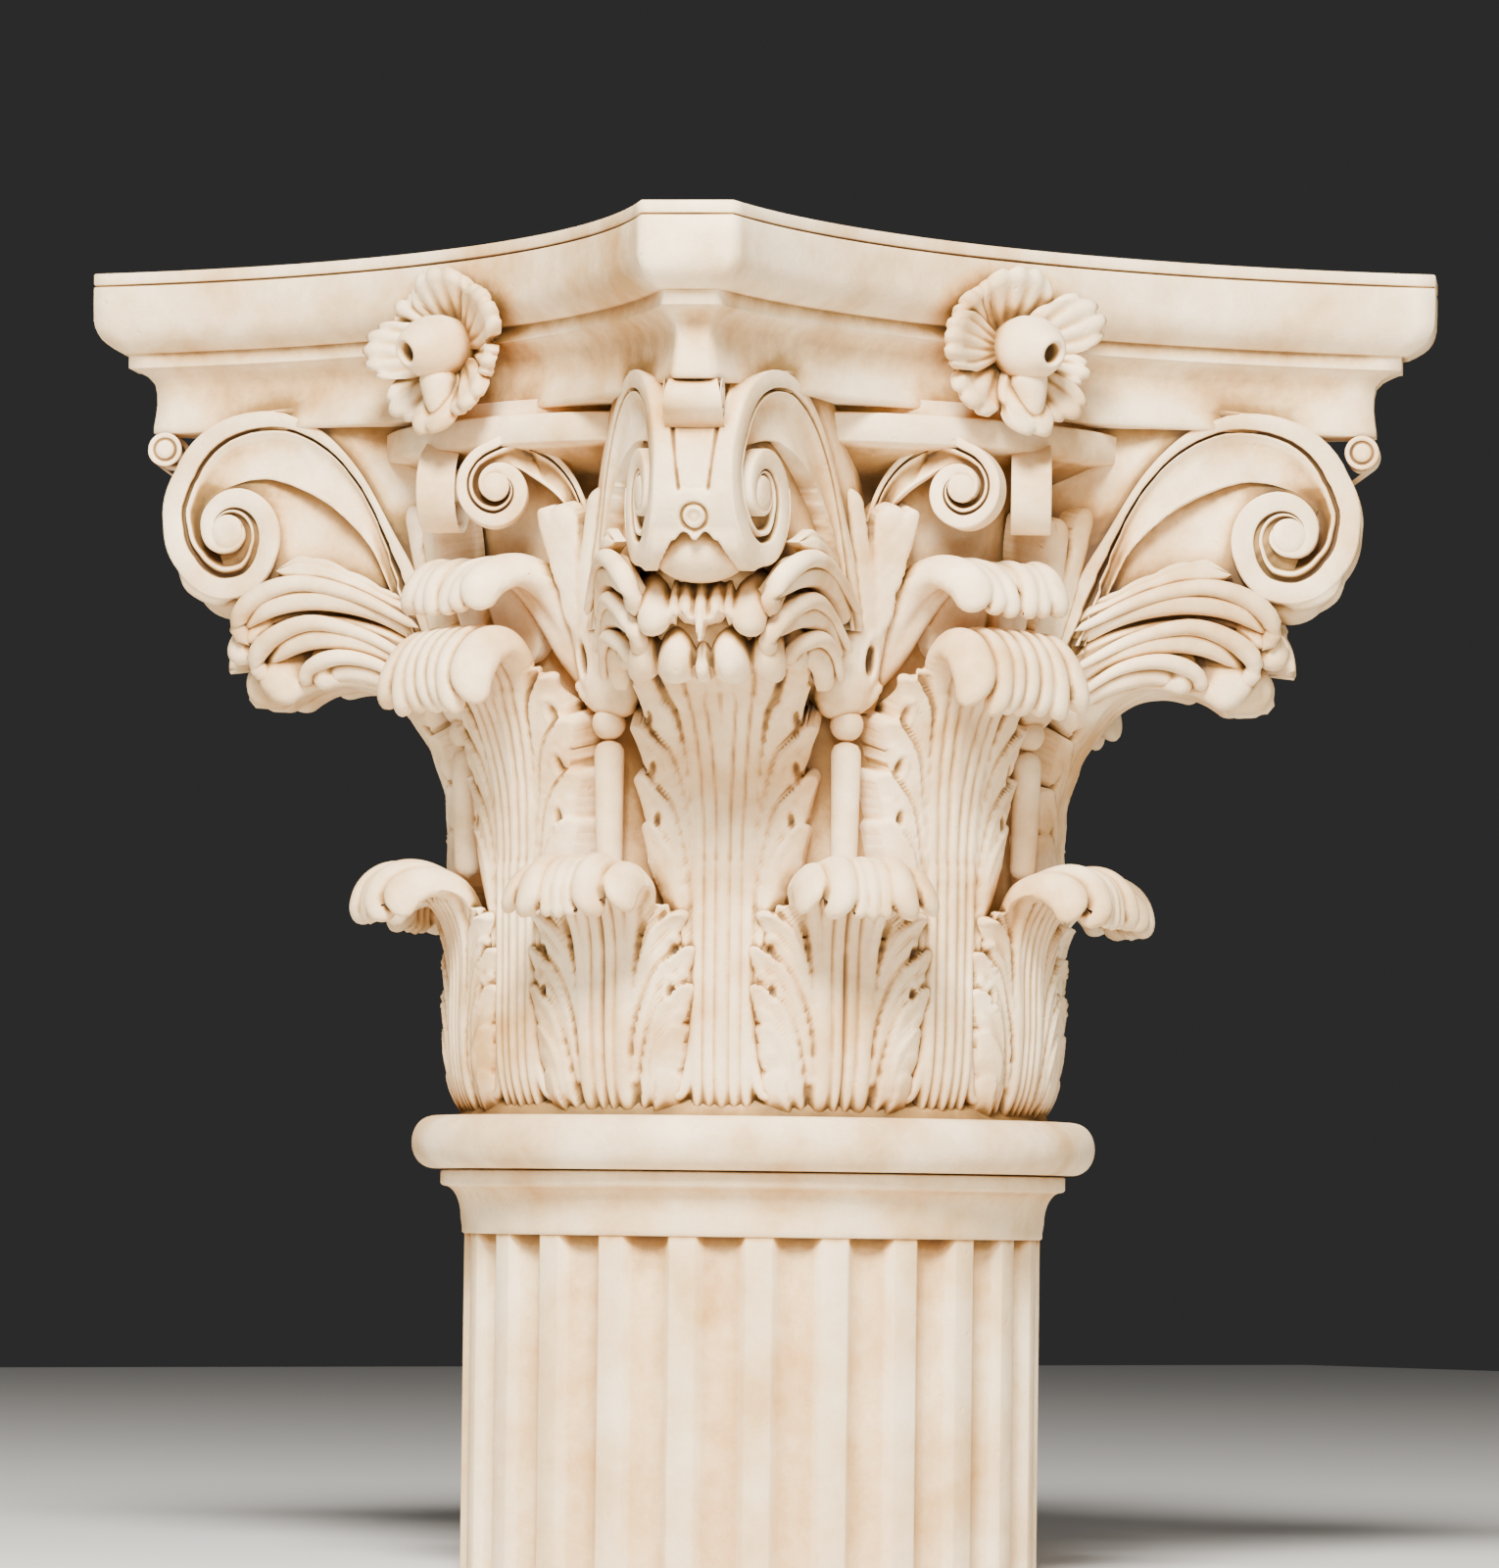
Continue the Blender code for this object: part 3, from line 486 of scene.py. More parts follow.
def podLeaf():
    # Calyx on a caulicole: smooth towards the corner, a drilled pit and hooked lobes towards the helix.
    fingers = [
        finger((3, 11), (3, 44), (9, 90), (12, 13.5, 13, 9), (1, 1.5), 0.62),
        finger((-5, 14), (-7, 50), (-13, 84), (7.5, 8, 9, 8), (0, 1.0), 0.6),
        finger((14.5, 30), (17, 60), (18, 104), (1.8, 2.4, 3.0, 1.6), (3, 3.0), 0.8),
        finger((-2, 30), (-13, 46), (-14, 58), (4, 6, 3), (1, 3.5), 0.8, 0.3),
        finger((-2, 46), (-15, 60), (-18, 72), (4, 6.5, 3), (1, 3.5), 0.8, 0.3),
        finger((-4, 58), (-17, 72), (-22, 88), (5, 7, 3), (1, 3.5), 0.8, 0.3),
        finger((-12, 14), (-5, 1), (2, 16), (2.4, 3.4, 2.6), (1.5, 2.5), 0.8),
    ]
    return {
        "path": [(9, 171), (16, 177), (20, 195), (24, 214), (29, 236), (34, 258), (38, 275)],
        "fingers": fingers, "bulge": 0.9, "sink": 0.0, "root": 16, "thick": 8.0,
        "curl": (300, 320), "flutes": (300, 320), "droop": (0, 50), "hug": 140, "grain": 1.3,
        "pits": ((-7, 26, 2.8, 8.0, 5),),
    }


def spiral(turns, angles, later=0):
    # Points at these angles on the spiral through (angle, radius) pairs, or that many degrees later on it.
    turns = sorted(turns)
    radii = np.interp(angles - later, [a for a, _ in turns], [r for _, r in turns])
    return np.stack([radii * np.cos(np.radians(angles)), radii * np.sin(np.radians(angles))], -1)


def scrollEdges(turns, angles, over, under, first, joinAt):
    # Outer and inner edge of a scroll from the foot of its stem to its eye, with each point's angle.
    outer, inner = spiral(turns, angles), spiral(turns, angles, 360)
    for k in (angles > joinAt).nonzero()[0]:
        share = (angles[0] - angles[k]) / (angles[0] - joinAt)
        inner[k] = under[int(round(first + (39 - first) * share))]
    foot = under[np.linspace(0, first, len(over)).round().astype(int)]
    at = np.concatenate([np.full(len(over) - 1, 120), angles])
    return np.vstack([over[:-1], outer]), np.vstack([foot[:-1], inner]), at


def scroll(outer, inner, rim, groove, depth, stem, place, walls):
    # Band that rolls up: flat rim, groove, bead and hollow channel from its outer edge to its inner edge.
    rings = []
    for o, i, w, g, d, f, wall in zip(outer, inner, rim, groove, depth, stem, walls):
        gap = dist(o, i)
        w = min(w, gap * 0.92)
        fine = min(1.0, max(gap - w, 0.01) / (g + 5))
        g, cut, bead = g * fine, (1.8 + 0.9 * g) * fine, 0.7 * fine
        stops = [(0, -wall), (0, -0.8), (0.3, -0.25), (0.9, 0), (w - 0.6, 0), (w, -0.4),
                 (w + 0.14 * g, -0.8 * cut), (w + 0.4 * g, -cut), (w + 0.75 * g, -0.95 * cut),
                 (w + g, -bead - 0.3 * fine),
                 (w + g + 0.5 * fine, -bead), (w + g + 1.3 * fine, -bead - 0.4 * fine)]
        start = w + g + 1.3 * fine
        for share in np.linspace(0.1, 1, 11):
            hollow = (1 - f) * sin(share * pi / 2) ** 0.9
            hollow += 0.75 * f * sin(pi * share**0.6)
            stops.append((start + (gap - start) * share, -bead - 0.4 * fine - (d - fine) * hollow))
        stops.append((gap, min(stops[-1][1], -9 * f)))
        ahead = (i - o) / max(gap, 1e-6)
        rings.append([place(*(o + ahead * min(across, gap)), lift) for across, lift in stops])
    return loft(rings)


volute = {  # eye from the axis and up, half the strap's width in front, how the faces part inward
    "eye": (232.0, 452.0),
    "strap": 17.6,
    "splay": 0.334,
    "reach": 258.0,
    "belly": ((231, 0, 428.5), (16.6, 20.5, 13.4)),
}


def voluteFace(x, y, lift):
    a, z = volute["eye"][0] + x, volute["eye"][1] + y
    face = volute["strap"] + (volute["reach"] - a) * volute["splay"]
    return (a, face + lift, z)


def voluteShells():
    turns = [(150, 70), (129, 62), (108, 55), (78, 46.5), (47, 36.7), (6, 30.2), (-36, 28.2), (-82, 29.9),
             (-115, 29.7), (-151, 26), (-199, 23.3), (-252, 19.7), (-302, 15.8), (-355, 12.4), (-401, 11),
             (-450, 9.3), (-519, 8.9), (-560, 7.5), (-640, 6.5), (-880, 6.2)]
    under = smoothLine([(-86, -50), (-74, -22), (-65.3, -6.2), (-47.7, 10.4), (-27, 20.7), (-12.4, 22.8),
                        (4, 18.7), (12, 12.5)], 40)
    over = [(-101, -50), (-89, -22), (-78, -3), (-62, 24), (-45, 42), (-28, 50.5), (-17, 52.3)]
    over = smoothLine(over, 30)
    outer, inner, at = scrollEdges(turns, np.linspace(112, -640, 118), over, under, 20, 30)
    foot = np.concatenate([np.linspace(1, 0, 29), np.zeros(len(at) - 29)])  # how far down the stem
    rims = [8.6, 9.2, 9.2, 9.6, 8.6, 7.4, 6, 4]
    rim = np.interp(-at, [-120, -60, 82, 180, 252, 302, 355, 640], rims) - 1.2 * foot
    groove = np.interp(-at, [-120, 0, 60, 180, 300, 640], [2.0, 2.6, 3.4, 3.0, 1.6, 1.0]) + 3.6 * foot**1.5
    cuts = [5, 8, 10.5, 10, 7.5, 5, 3.2, 1.6, 0.8]
    depth = np.interp(-at, [-120, -60, 0, 100, 180, 252, 302, 355, 640], cuts)
    stem = ramp(at, 20, 100)
    face = scroll(outer, inner, rim, groove, depth, stem, voluteFace, np.where(at > -100, 0.8, 11))
    disc = [[voluteFace(r * cos(a), r * sin(a), lift) for a in circle(28)]
            for r, lift in ((7.4, -6), (7.4, -0.6), (6.9, 0), (3.5, 0.4), (0.1, 0.5))]
    web = []
    for u, (x, y) in zip(np.linspace(0, 1, 40), under):
        lowX, lowY = -92 + 90 * u, -58 + 32 * u
        lump = 4.5 * exp(-(((u - 0.82) / 0.16) ** 2)) - 3.5 * exp(-(((u - 0.5) / 0.14) ** 2))
        row = []
        for v in np.linspace(0, 1, 14):
            lift = -8 + 3 * v + lump * sin(pi * min(1, 0.1 + v))
            row.append(voluteFace(x + (lowX - x) * v, y + (lowY - y) * v, lift))
        web.append(row)
    back = []  # stone behind the stem, from its outer edge into the bell and the lip
    for x, y in over:
        depths = (0, 3, 8, 15, 24, 35, 50)
        back.append([voluteFace(x - deep, y + 0.1 * deep, -1.2 - 0.004 * deep**2) for deep in depths])
    shells = [face, loft(disc, closed=True), loft(web), loft(back)]
    shells += [mirrored(s) for s in shells]
    shells.append(ball(*volute["belly"], rows=20, cols=36))  # belly between the flanges
    shells.append(strapShell(outer[at > -196]))
    return shells


def strapShell(edge):
    # Strap over the front, from one face to the other, with its panel, ring and notch.
    closer = 1 + 2.6 * ramp(edge[1:, 0], 4, 14) * (edge[1:, 1] < 6)  # more rows where the ring is
    along = np.concatenate([[0], np.cumsum(np.linalg.norm(np.diff(edge, axis=0), axis=1) * closer)])
    at = np.linspace(0, along[-1], 128)
    edge = np.column_stack([np.interp(at, along, edge[:, k]) for k in (0, 1)])
    ahead = np.gradient(edge, axis=0)
    ahead /= np.linalg.norm(ahead, axis=1)[:, None]
    out = np.stack([-ahead[:, 1], ahead[:, 0]], -1)
    out *= np.sign((out * edge).sum(1).mean())
    rows = []
    for (x, y), (outX, outY) in zip(edge, out):
        a, z = volute["eye"][0] + x, volute["eye"][1] + y
        face = volute["strap"] + (volute["reach"] - a) * volute["splay"]
        row = []
        for v in np.linspace(-1, 1, 51):
            b = v * face
            front = ramp(x, 2, 14)
            panelHalf = 6.2 + 3.0 * (z - 451) / 25
            line = exp(-(((abs(b) - panelHalf) / 0.8) ** 2)) * ramp(z, 449, 452)
            panel = 0.5 * ramp(panelHalf - abs(b), -0.5, 0.7) * ramp(z, 450.2, 452) + 1.1 * line
            belly = ramp(9.5 + max(0, 431 - z) * 0.75 - abs(b), -1, 1)
            belly *= ramp(432.5 - 1.4 * cos(b * 0.7) - z, -0.9, 0.9)
            ring = hypot(b, z - 440)
            dot = exp(-(((ring - 5.2) / 0.9) ** 2)) + 0.6 * ramp(3.0 - ring, -0.8, 0.8)
            sink = 1.6 * panel * ramp(x, 8, 16) + 6.5 * belly + 2.0 * dot * ramp(x, 12, 20) * front
            sink -= 3.0 * ramp(437 - z, 0, 9) * (1 - belly) * ramp(face - abs(b), 0.3, 3.5) * ramp(x, -4, 4)
            sink += 2.2 * (1 - ramp(x, -20, 10)) * ramp(face - abs(b), 1.5, 5)
            sink += 0.5 * ramp(abs(v), 0.97, 1.0)
            row.append((a - outX * sink, b, z - outY * sink))
        rows.append(row)
    return loft(rows)


def blade(rows, crown, lobes=0, rib=0.62, steps=32):
    # Leaf blade on the volute's face; each row is x, lower edge, upper edge and how far it stands out.
    line = smoothLine(rows, steps)
    front, behind = [], []
    for k, (x, low, high, lift) in enumerate(line):
        share = k / (steps - 1)
        scallop = 0.2 * abs(sin(lobes * pi * share)) ** 0.7 if lobes else 0
        taper = min(1, 7 * share + 0.35) * min(1, sqrt(max(0, 1 - share) * 6))
        middle, half = (low + high) / 2, (high - low) / 2 * taper
        top = half * (1 - 0.2 * bool(lobes) + scallop)
        row, back = [], []
        for v in np.linspace(-1, 1, 15):
            y = middle + (top if v > 0 else half) * v
            dome = crown * sqrt(max(0, 1 - v * v)) * taper
            dome -= 1.3 * exp(-(((v - rib) / 0.14) ** 2)) + 0.9 * scallop * crown * ramp(v, 0.1, 1)
            row.append(voluteFace(x, y, lift + dome))
            if abs(v) in (0, 1):
                back.append(voluteFace(x, y, lift - 4 - 3 * (1 - abs(v))))
        front.append(row)
        behind.append(back)
    return loft([f + b[::-1] for f, b in zip(front, behind)], closed=True)


sideLeaf = {  # points on the volute's face: x, lower edge, upper edge, lift; then crown, lobes and rib
    "blades": [
        ([(-86, -44, -33, -4), (-70, -36, -24, 0), (-50, -28, -14.5, 3), (-36, -25, -11.5, 4.5),
          (-24, -21, -15, 4)], 2.6, 4),
        ([(-92, -52, -36, -5), (-68, -40, -27, 0), (-42, -35.5, -22, 3.5), (-20, -39, -25, 3),
          (-8, -49, -33, -1)], 3.6, 0, 0.3),
        ([(-92, -68, -50, -9), (-70, -57, -42, -4), (-46, -52, -37.5, -1), (-28, -56, -42, -3),
          (-18, -64, -50, -8)], 4.2, 0, 0.35),
        ([(-90, -78, -62, -12), (-74, -70, -54, -7), (-56, -66, -52, -5), (-42, -70, -56, -8)], 3.6, 3),
    ],
    "ridges": [  # hooked ribs on the blades: x, y and lift, then radii
        (((-90, -44, 2), (-62, -30, 4), (-36, -24, 6), (-16, -29, 5), (-6, -40, 1), (-11, -50, -2)),
         (1.6, 2.6, 3.4, 3.9, 4.6, 3.6)),
        (((-90, -60, -2), (-66, -47, 0), (-42, -41, 3), (-24, -46, 1), (-14, -56, -3), (-20, -66, -7)),
         (1.6, 2.4, 3.2, 3.8, 4.6, 3.6)),
        (((-90, -72, -6), (-72, -60, -2), (-54, -56, 0), (-40, -60, -3), (-36, -68, -7)),
         (1.6, 2.4, 3.2, 3.9, 3.2)),
    ],
}


def sideLeafShells():
    # A small lobed leaf against each volute's face, with the long blades of the third tier below it.
    shells = [blade(*one) for one in sideLeaf["blades"]]
    for points, radii in sideLeaf["ridges"]:
        shells.append(tube([voluteFace(*point) for point in points], radii))
    return shells + [mirrored(one) for one in shells]


tongue = {  # centre of the roll, half its width, and where it starts
    "out": 262.6,
    "up": 489.2,
    "half": 9.6,
    "root": 236.0,
    "cap": [  # radius and lift of the rings on its ends
        (7.4, 0), (7.0, 0.5), (5.6, 0.5), (5.2, -0.6), (4.2, -0.6), (3.8, 0.6), (1.8, 0.8), (0.1, 0.8),
    ],
}


def tongueShells():
    # Small roll between the corner of the abacus and the strap.
    centre, up, half, root = tongue["out"], tongue["up"], tongue["half"], tongue["root"]
    rows = []
    for step in range(30):
        share = step / 29
        if share < 0.3:
            a, z = root + (centre - root) * share / 0.3, up + 7.6
        else:
            turn = radians(90 - 150 * min(1, (share - 0.3) / 0.5))
            tail = max(0, (share - 0.8) / 0.2)
            a, z = centre + 7.4 * cos(turn) - 8 * tail, up + 7.4 * sin(turn) - 6 * tail
        row = []
        for v in np.linspace(-1, 1, 21):
            hollow = 0.9 * (1 - v * v) * (1 - ramp(share, 0.55, 0.8))
            away = Vector((a - centre, 0, z - up)).normalized() if share >= 0.3 else Vector((0, 0, 1))
            flare = 1 + 0.28 * ramp(share, 0.3, 0.75)
            row.append((a - away.x * hollow, v * half * flare, z - away.z * hollow))
        rows.append(row)
    shells = [loft(rows)]
    for side in (-1, 1):
        cap = []
        for r, lift in tongue["cap"]:
            b = side * (half * 1.2 + lift)
            cap.append([(centre + r * cos(a), b, up + r * sin(a)) for a in circle(26)])
        shells.append(loft(cap, closed=True))
    return shells


helix = {  # its eye, which way its face looks, the width of its band, and the scroll's stretch
    "out": 165.0,
    "aside": 25.0,
    "up": 463.0,
    "turn": radians(50),
    "band": 17.0,
    "wide": 0.9,
    "high": 0.93,
}


def helixShells():
    turns = [(128, 34), (110, 26), (80, 20.5), (40, 18.8), (0, 18.2), (-45, 18.2), (-90, 18.5),
             (-140, 17), (-190, 14.5), (-240, 12), (-300, 9.6), (-360, 7.6), (-430, 6.2), (-760, 5)]
    over = [(-50, -44), (-47.5, -22), (-44, -9), (-37, 5.5), (-27, 16), (-14, 22.4), (-9.5, 23.8)]
    under = [(-42, -44), (-39.5, -22), (-36, -12), (-28, -2.5), (-17, 5), (-8, 9.5), (2, 9.2)]
    over, under = smoothLine(over, 24), smoothLine(under, 40)
    outer, inner, at = scrollEdges(turns, np.linspace(118, -400, 90), over, under, 26, 55)
    rim = np.interp(-at, [-120, 0, 140, 240, 400], [4.4, 4.8, 6.5, 6.5, 4.5])
    groove = np.interp(-at, [-120, 0, 140, 400], [1.6, 1.4, 2.0, 1.0])
    depth = np.interp(-at, [-120, 0, 100, 200, 300, 400], [5, 6.5, 6.5, 4.5, 2.5, 1])
    facing = np.array([cos(helix["turn"]), sin(helix["turn"]), 0])
    onward = np.array([sin(helix["turn"]), -cos(helix["turn"]), 0])
    eye = np.array([helix["out"], helix["aside"], helix["up"]])

    def place(x, y, lift):
        return tuple(eye + onward * x * helix["wide"] + np.array([0, 0, y * helix["high"]]) + facing * lift)

    face = scroll(outer, inner, rim, groove, depth, ramp(at, 30, 100), place, [helix["band"]] * len(outer))
    disc = [[place(r * cos(a), r * sin(a), lift) for a in circle(24)]
            for r, lift in ((6.6, -5), (6.6, -0.5), (6.2, 0), (0.1, 0.3))]
    shells = [face, loft(disc, closed=True)]
    shells += [mirrored(s) for s in shells]
    return shells


caulicole = {  # rod and the ball on it: out, aside and up, and radii
    "stick": [(130, 0, 300), (131, 0, 330), (131.5, 0, 357)],
    "stickRadii": (5.6, 6.0, 6.6),
    "bead": (132, 0, 363.5),
    "beadRadius": 7.2,
}


def caulicoleShells():
    stick = tube(caulicole["stick"], caulicole["stickRadii"], 16)
    return [stick, ball(caulicole["bead"], (caulicole["beadRadius"],) * 3), frond(podLeaf())]


flower = {  # its middle's height and distance from the axis, and how far its petals reach
    "middle": 522.0,
    "out": 171.8,
    "halfWidth": 47.0,
    "halfHeight": 35.5,
    "petals": [  # direction, half spread, lobes, length, lift
        (96, 44, 5, 1.0, 0), (34, 36, 4, 0.99, 3), (-16, 26, 3, 0.80, -1), (-54, 30, 3, 0.94, 3),
        (-90, 26, 2, 1.05, 6), (-134, 32, 3, 1.0, 0), (176, 36, 5, 1.02, 4), (138, 28, 3, 0.93, -2),
    ],
    "bud": [  # out, aside, up and radius
        (-8, 0, 2, 9.5), (-2, 0, 1.5, 12.4), (4, 0, 1, 13.8), (10, 0, 0.5, 13.6), (15.5, 0, -0.5, 12),
        (19.5, 0, -1.5, 9.6), (22, 0, -2.2, 7.4), (23, 0, -2.6, 6.2), (22.8, 0, -2.6, 4.9),
        (20, 0, -2, 4.3), (16, 0, -1.2, 3.8), (13, 0, 0, 0.2),
    ],
    "tongue": [(3, 0, -6), (6, 1, -14), (6, 2, -23), (3, 3, -31)],
}


def petalShell(direction, spread, lobes, length, lift):
    # Fluted fan with a lobed edge that turns over at its end.
    grid, under = [], []
    for v in np.linspace(0.1, 1, 16):
        row, low = [], []
        for u in np.linspace(-1, 1, 27):
            wave = cos if lobes % 2 else sin
            flute = abs(wave(lobes * pi * u / 2))
            reach = v * length * (1 - 0.07 * (1 - flute) ** 2 * ramp(v, 0.7, 1) - 0.2 * abs(u) ** 3)
            turn = radians(direction + u * spread * (0.75 + 0.25 * sin(v * pi)))
            x = flower["out"] + lift - 8 + 17 * v**1.3 - 5 * ramp(v, 0.86, 1.06)
            x += (1.5 * flute - 5.5 * u * u) * ramp(v, 0.12, 0.7)
            y = flower["halfWidth"] * reach * cos(turn)
            z = flower["halfHeight"] * reach * sin(turn)
            row.append((x, y, flower["middle"] + z))
            low.append((x - 4 - 5 * (1 - v), y * 0.97, flower["middle"] + z * 0.97))
        grid.append(row)
        under.append(low)
    rings = [front + back[::-1] for front, back in zip(grid, under)]
    rings.append(under[-1] + under[-1][::-1])
    return loft(rings, closed=True)


def flowerShells():
    # Ruffled petals round a fat bud that ends in a small mouth, with a drooping tongue below it.
    shells = [petalShell(*petal) for petal in flower["petals"]]
    bud = flower["bud"]
    points = np.array([one[:3] for one in bud], float)
    ahead = np.gradient(points[:8], axis=0)
    ahead = np.vstack([ahead, np.repeat(ahead[-1:], 4, axis=0)])  # four rings go back into the mouth
    rings = []
    for centre, step, (_, _, _, r) in zip(points, ahead, bud):
        axis = Vector(step).normalized()
        side = axis.cross(Vector((0, 0, 1))).normalized()
        other = axis.cross(side)
        ring = []
        for a in circle(30):
            point = Vector(centre) + side * r * cos(a) + other * r * sin(a)
            ring.append((flower["out"] + point.x, point.y, flower["middle"] + point.z))
        rings.append(ring)
    shells.append(loft(rings, closed=True))
    droop = [(flower["out"] + out, y, flower["middle"] + z) for out, y, z in flower["tongue"]]
    shells.append(tube(droop, (9, 8, 6, 4), 16))
    return shells


# material

stoneLook = {
    "light": "#FDE3B8",   # cream where no wash or painted shade lies, as on the rubbed proud edges
    "body": "#F1CC95",    # cream body of the cast stone
    "washAndShade": "#A57F47",    # ochre wash in the hollows, with painted shade where the stone is sheltered
    "deep": "#59401D",    # brown wash and painted shadow in the deepest cuts
    "grainMm": 1.6,       # sand grains are under 1 mm; drawn coarser so that they show at this distance
    "patchMm": 55.0,      # clouds of wash
    "smearMm": 9.0,       # strokes of the wiping cloth
    "pitMm": 14.0,        # spacing of the casting pits, which are about 1.3 mm wide
    "roughness": 0.66,
}


def linear(hexColour):
    values = [int(hexColour[k:k + 2], 16) / 255 for k in (1, 3, 5)]
    return tuple(v / 12.92 if v <= 0.04045 else ((v + 0.055) / 1.055) ** 2.4 for v in values) + (1,)


def addNode(tree, kind, settings=None, **links):
    # Adds a node; settings are its properties or socket values, links its input sockets by name.
    node = tree.nodes.new(kind)
    for key, value in (settings or {}).items():
        if hasattr(node, key):
            setattr(node, key, value)
        else:
            node.inputs[int(key) if key.isdigit() else key].default_value = value
    for key, source in links.items():
        socket = node.inputs[int(key[1:]) if key[1:].isdigit() else key.replace("_", " ")]
        tree.links.new(source, socket)
    return node


def noise(tree, place, sizeMm, detail, roughness):
    settings = {"Scale": 1000 / sizeMm, "Detail": detail, "Roughness": roughness}
    return addNode(tree, "ShaderNodeTexNoise", settings, Vector=place).outputs["Fac"]


def remap(tree, source, low, high, toLow, toHigh):
    settings = {"From Min": low, "From Max": high, "To Min": toLow, "To Max": toHigh}
    return addNode(tree, "ShaderNodeMapRange", settings, Value=source).outputs[0]


def castStone(name, tint):
    # Cast stone, poured and rubbed: a fine sandy, matt body with no gloss. Its colour darkens with how
    # sheltered and
    # hollow each point lies: partly a brown wash left in the hollows, partly painted shade, so the ridges
    # look chalky.
    look = stoneLook
    material = bpy.data.materials.new(name)
    material.use_nodes = True
    tree = material.node_tree
    surface = tree.nodes["Principled BSDF"]
    place = addNode(tree, "ShaderNodeTexCoord").outputs["Object"]
    # per-point mask of wash and painted shade in sheltered hollows
    creviceWashAndShade = addNode(tree, "ShaderNodeAttribute", {"attribute_name": "creviceWashAndShade"}).outputs["Fac"]
    patch = noise(tree, place, look["patchMm"], 4.0, 0.6)
    grain = noise(tree, place, look["grainMm"], 3.0, 0.7)
    smear = noise(tree, place, look["smearMm"], 5.0, 0.65)
    # how much wash and painted shade: sheltered hollows, broken up by smears
    broken = addNode(tree, "ShaderNodeMath", {"operation": "MULTIPLY_ADD", "1": 0.34, "2": -0.17}, _0=smear)
    amount = addNode(tree, "ShaderNodeMath", {"operation": "ADD", "use_clamp": True},
                     _0=creviceWashAndShade, _1=broken.outputs[0])
    # ramp from cream through ochre to brown: wash and painted shade in one colour
    tone = addNode(tree, "ShaderNodeValToRGB", {}, Fac=amount.outputs[0])
    stops = tone.color_ramp.elements
    stops[0].position, stops[0].color = 0.0, linear(look["light"])
    stops[1].position, stops[1].color = 0.82, linear(look["deep"])
    for position, colour in ((0.15, look["body"]), (0.42, look["washAndShade"])):
        stops.new(position).color = linear(colour)
    # stained in patches, then speckled by the sand
    mix = {"data_type": "RGBA", "blend_type": "MULTIPLY"}
    spots = remap(tree, patch, 0.36, 0.7, 0.0, 1.0)
    stained = addNode(tree, "ShaderNodeMix", {**mix, "7": linear(tint)}, _0=spots, _6=tone.outputs["Color"])
    speck = remap(tree, grain, 0.3, 0.75, 0.94, 1.04)
    dusted = addNode(tree, "ShaderNodeMix", {**mix, "0": 1.0}, _6=stained.outputs[2], _7=speck)
    tree.links.new(dusted.outputs[2], surface.inputs["Base Color"])
    # sandy skin and small casting pits
    pits = addNode(tree, "ShaderNodeTexVoronoi", {"Scale": 1000 / look["pitMm"]}, Vector=place)
    pitDepth = remap(tree, pits.outputs["Distance"], 0.04, 0.09, -1.0, 0.0)
    skin = addNode(tree, "ShaderNodeMath", {"operation": "ADD"}, _0=grain, _1=pitDepth)
    bump = addNode(tree, "ShaderNodeBump", {"Strength": 0.35, "Distance": 0.0006}, Height=skin.outputs[0])
    tree.links.new(bump.outputs["Normal"], surface.inputs["Normal"])
    surface.inputs["Roughness"].default_value = look["roughness"]
    surface.inputs["Metallic"].default_value = 0.0
    surface.inputs["IOR"].default_value = 1.5
    surface.inputs["Specular IOR Level"].default_value = 0.35
    return material


# putting it together

shapes = {}


def meshArrays(mesh):
    verts = np.array([v.co for v in mesh.vertices]) / mm
    return verts, np.array([tuple(p.vertices) for p in mesh.polygons])


def addObject(name, data):
    obj = bpy.data.objects.new(name, data)
    bpy.context.scene.collection.objects.link(obj)
    return obj


def makePiece(name, shells, copies, node, material, slotName):
    # One mesh from the shells, repeated round the axis; it rides the root and stands for the CAD node.
    verts, faces = joined(shells)
    mesh = bpy.data.meshes.new(name)
    mesh.from_pydata((verts * mm).tolist(), [], faces.tolist())
    bm = bmesh.new()
    bm.from_mesh(mesh)
    bmesh.ops.recalc_face_normals(bm, faces=bm.faces)
    bm.to_mesh(mesh)
    bm.free()
    quarter = len(verts)
    verts, faces = meshArrays(mesh)
    verts, faces = joined([turned((verts, faces), 90 * k) for k in range(copies)])
    mesh.clear_geometry()
    mesh.from_pydata((verts * mm).tolist(), [], faces.tolist())
    mesh.polygons.foreach_set("use_smooth", [True] * len(mesh.polygons))
    mesh.update()
    obj = addObject(name, mesh)
    mesh.materials.append(material)
    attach(obj, "root")
    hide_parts(node)
    shapes[name] = (mesh, quarter, copies)
    print(name, len(faces) * 2, "triangles")


washAndShade = {  # rays per point and their reach, then how much shelter and hollowness darken a point: painted shade and wash
    "rays": 14,
    "reach": 20.0,
    "shade": 1.45,
    "offset": -0.07,
    "bowl": 3.4,
    "rounds": 2,          # of smoothing
}


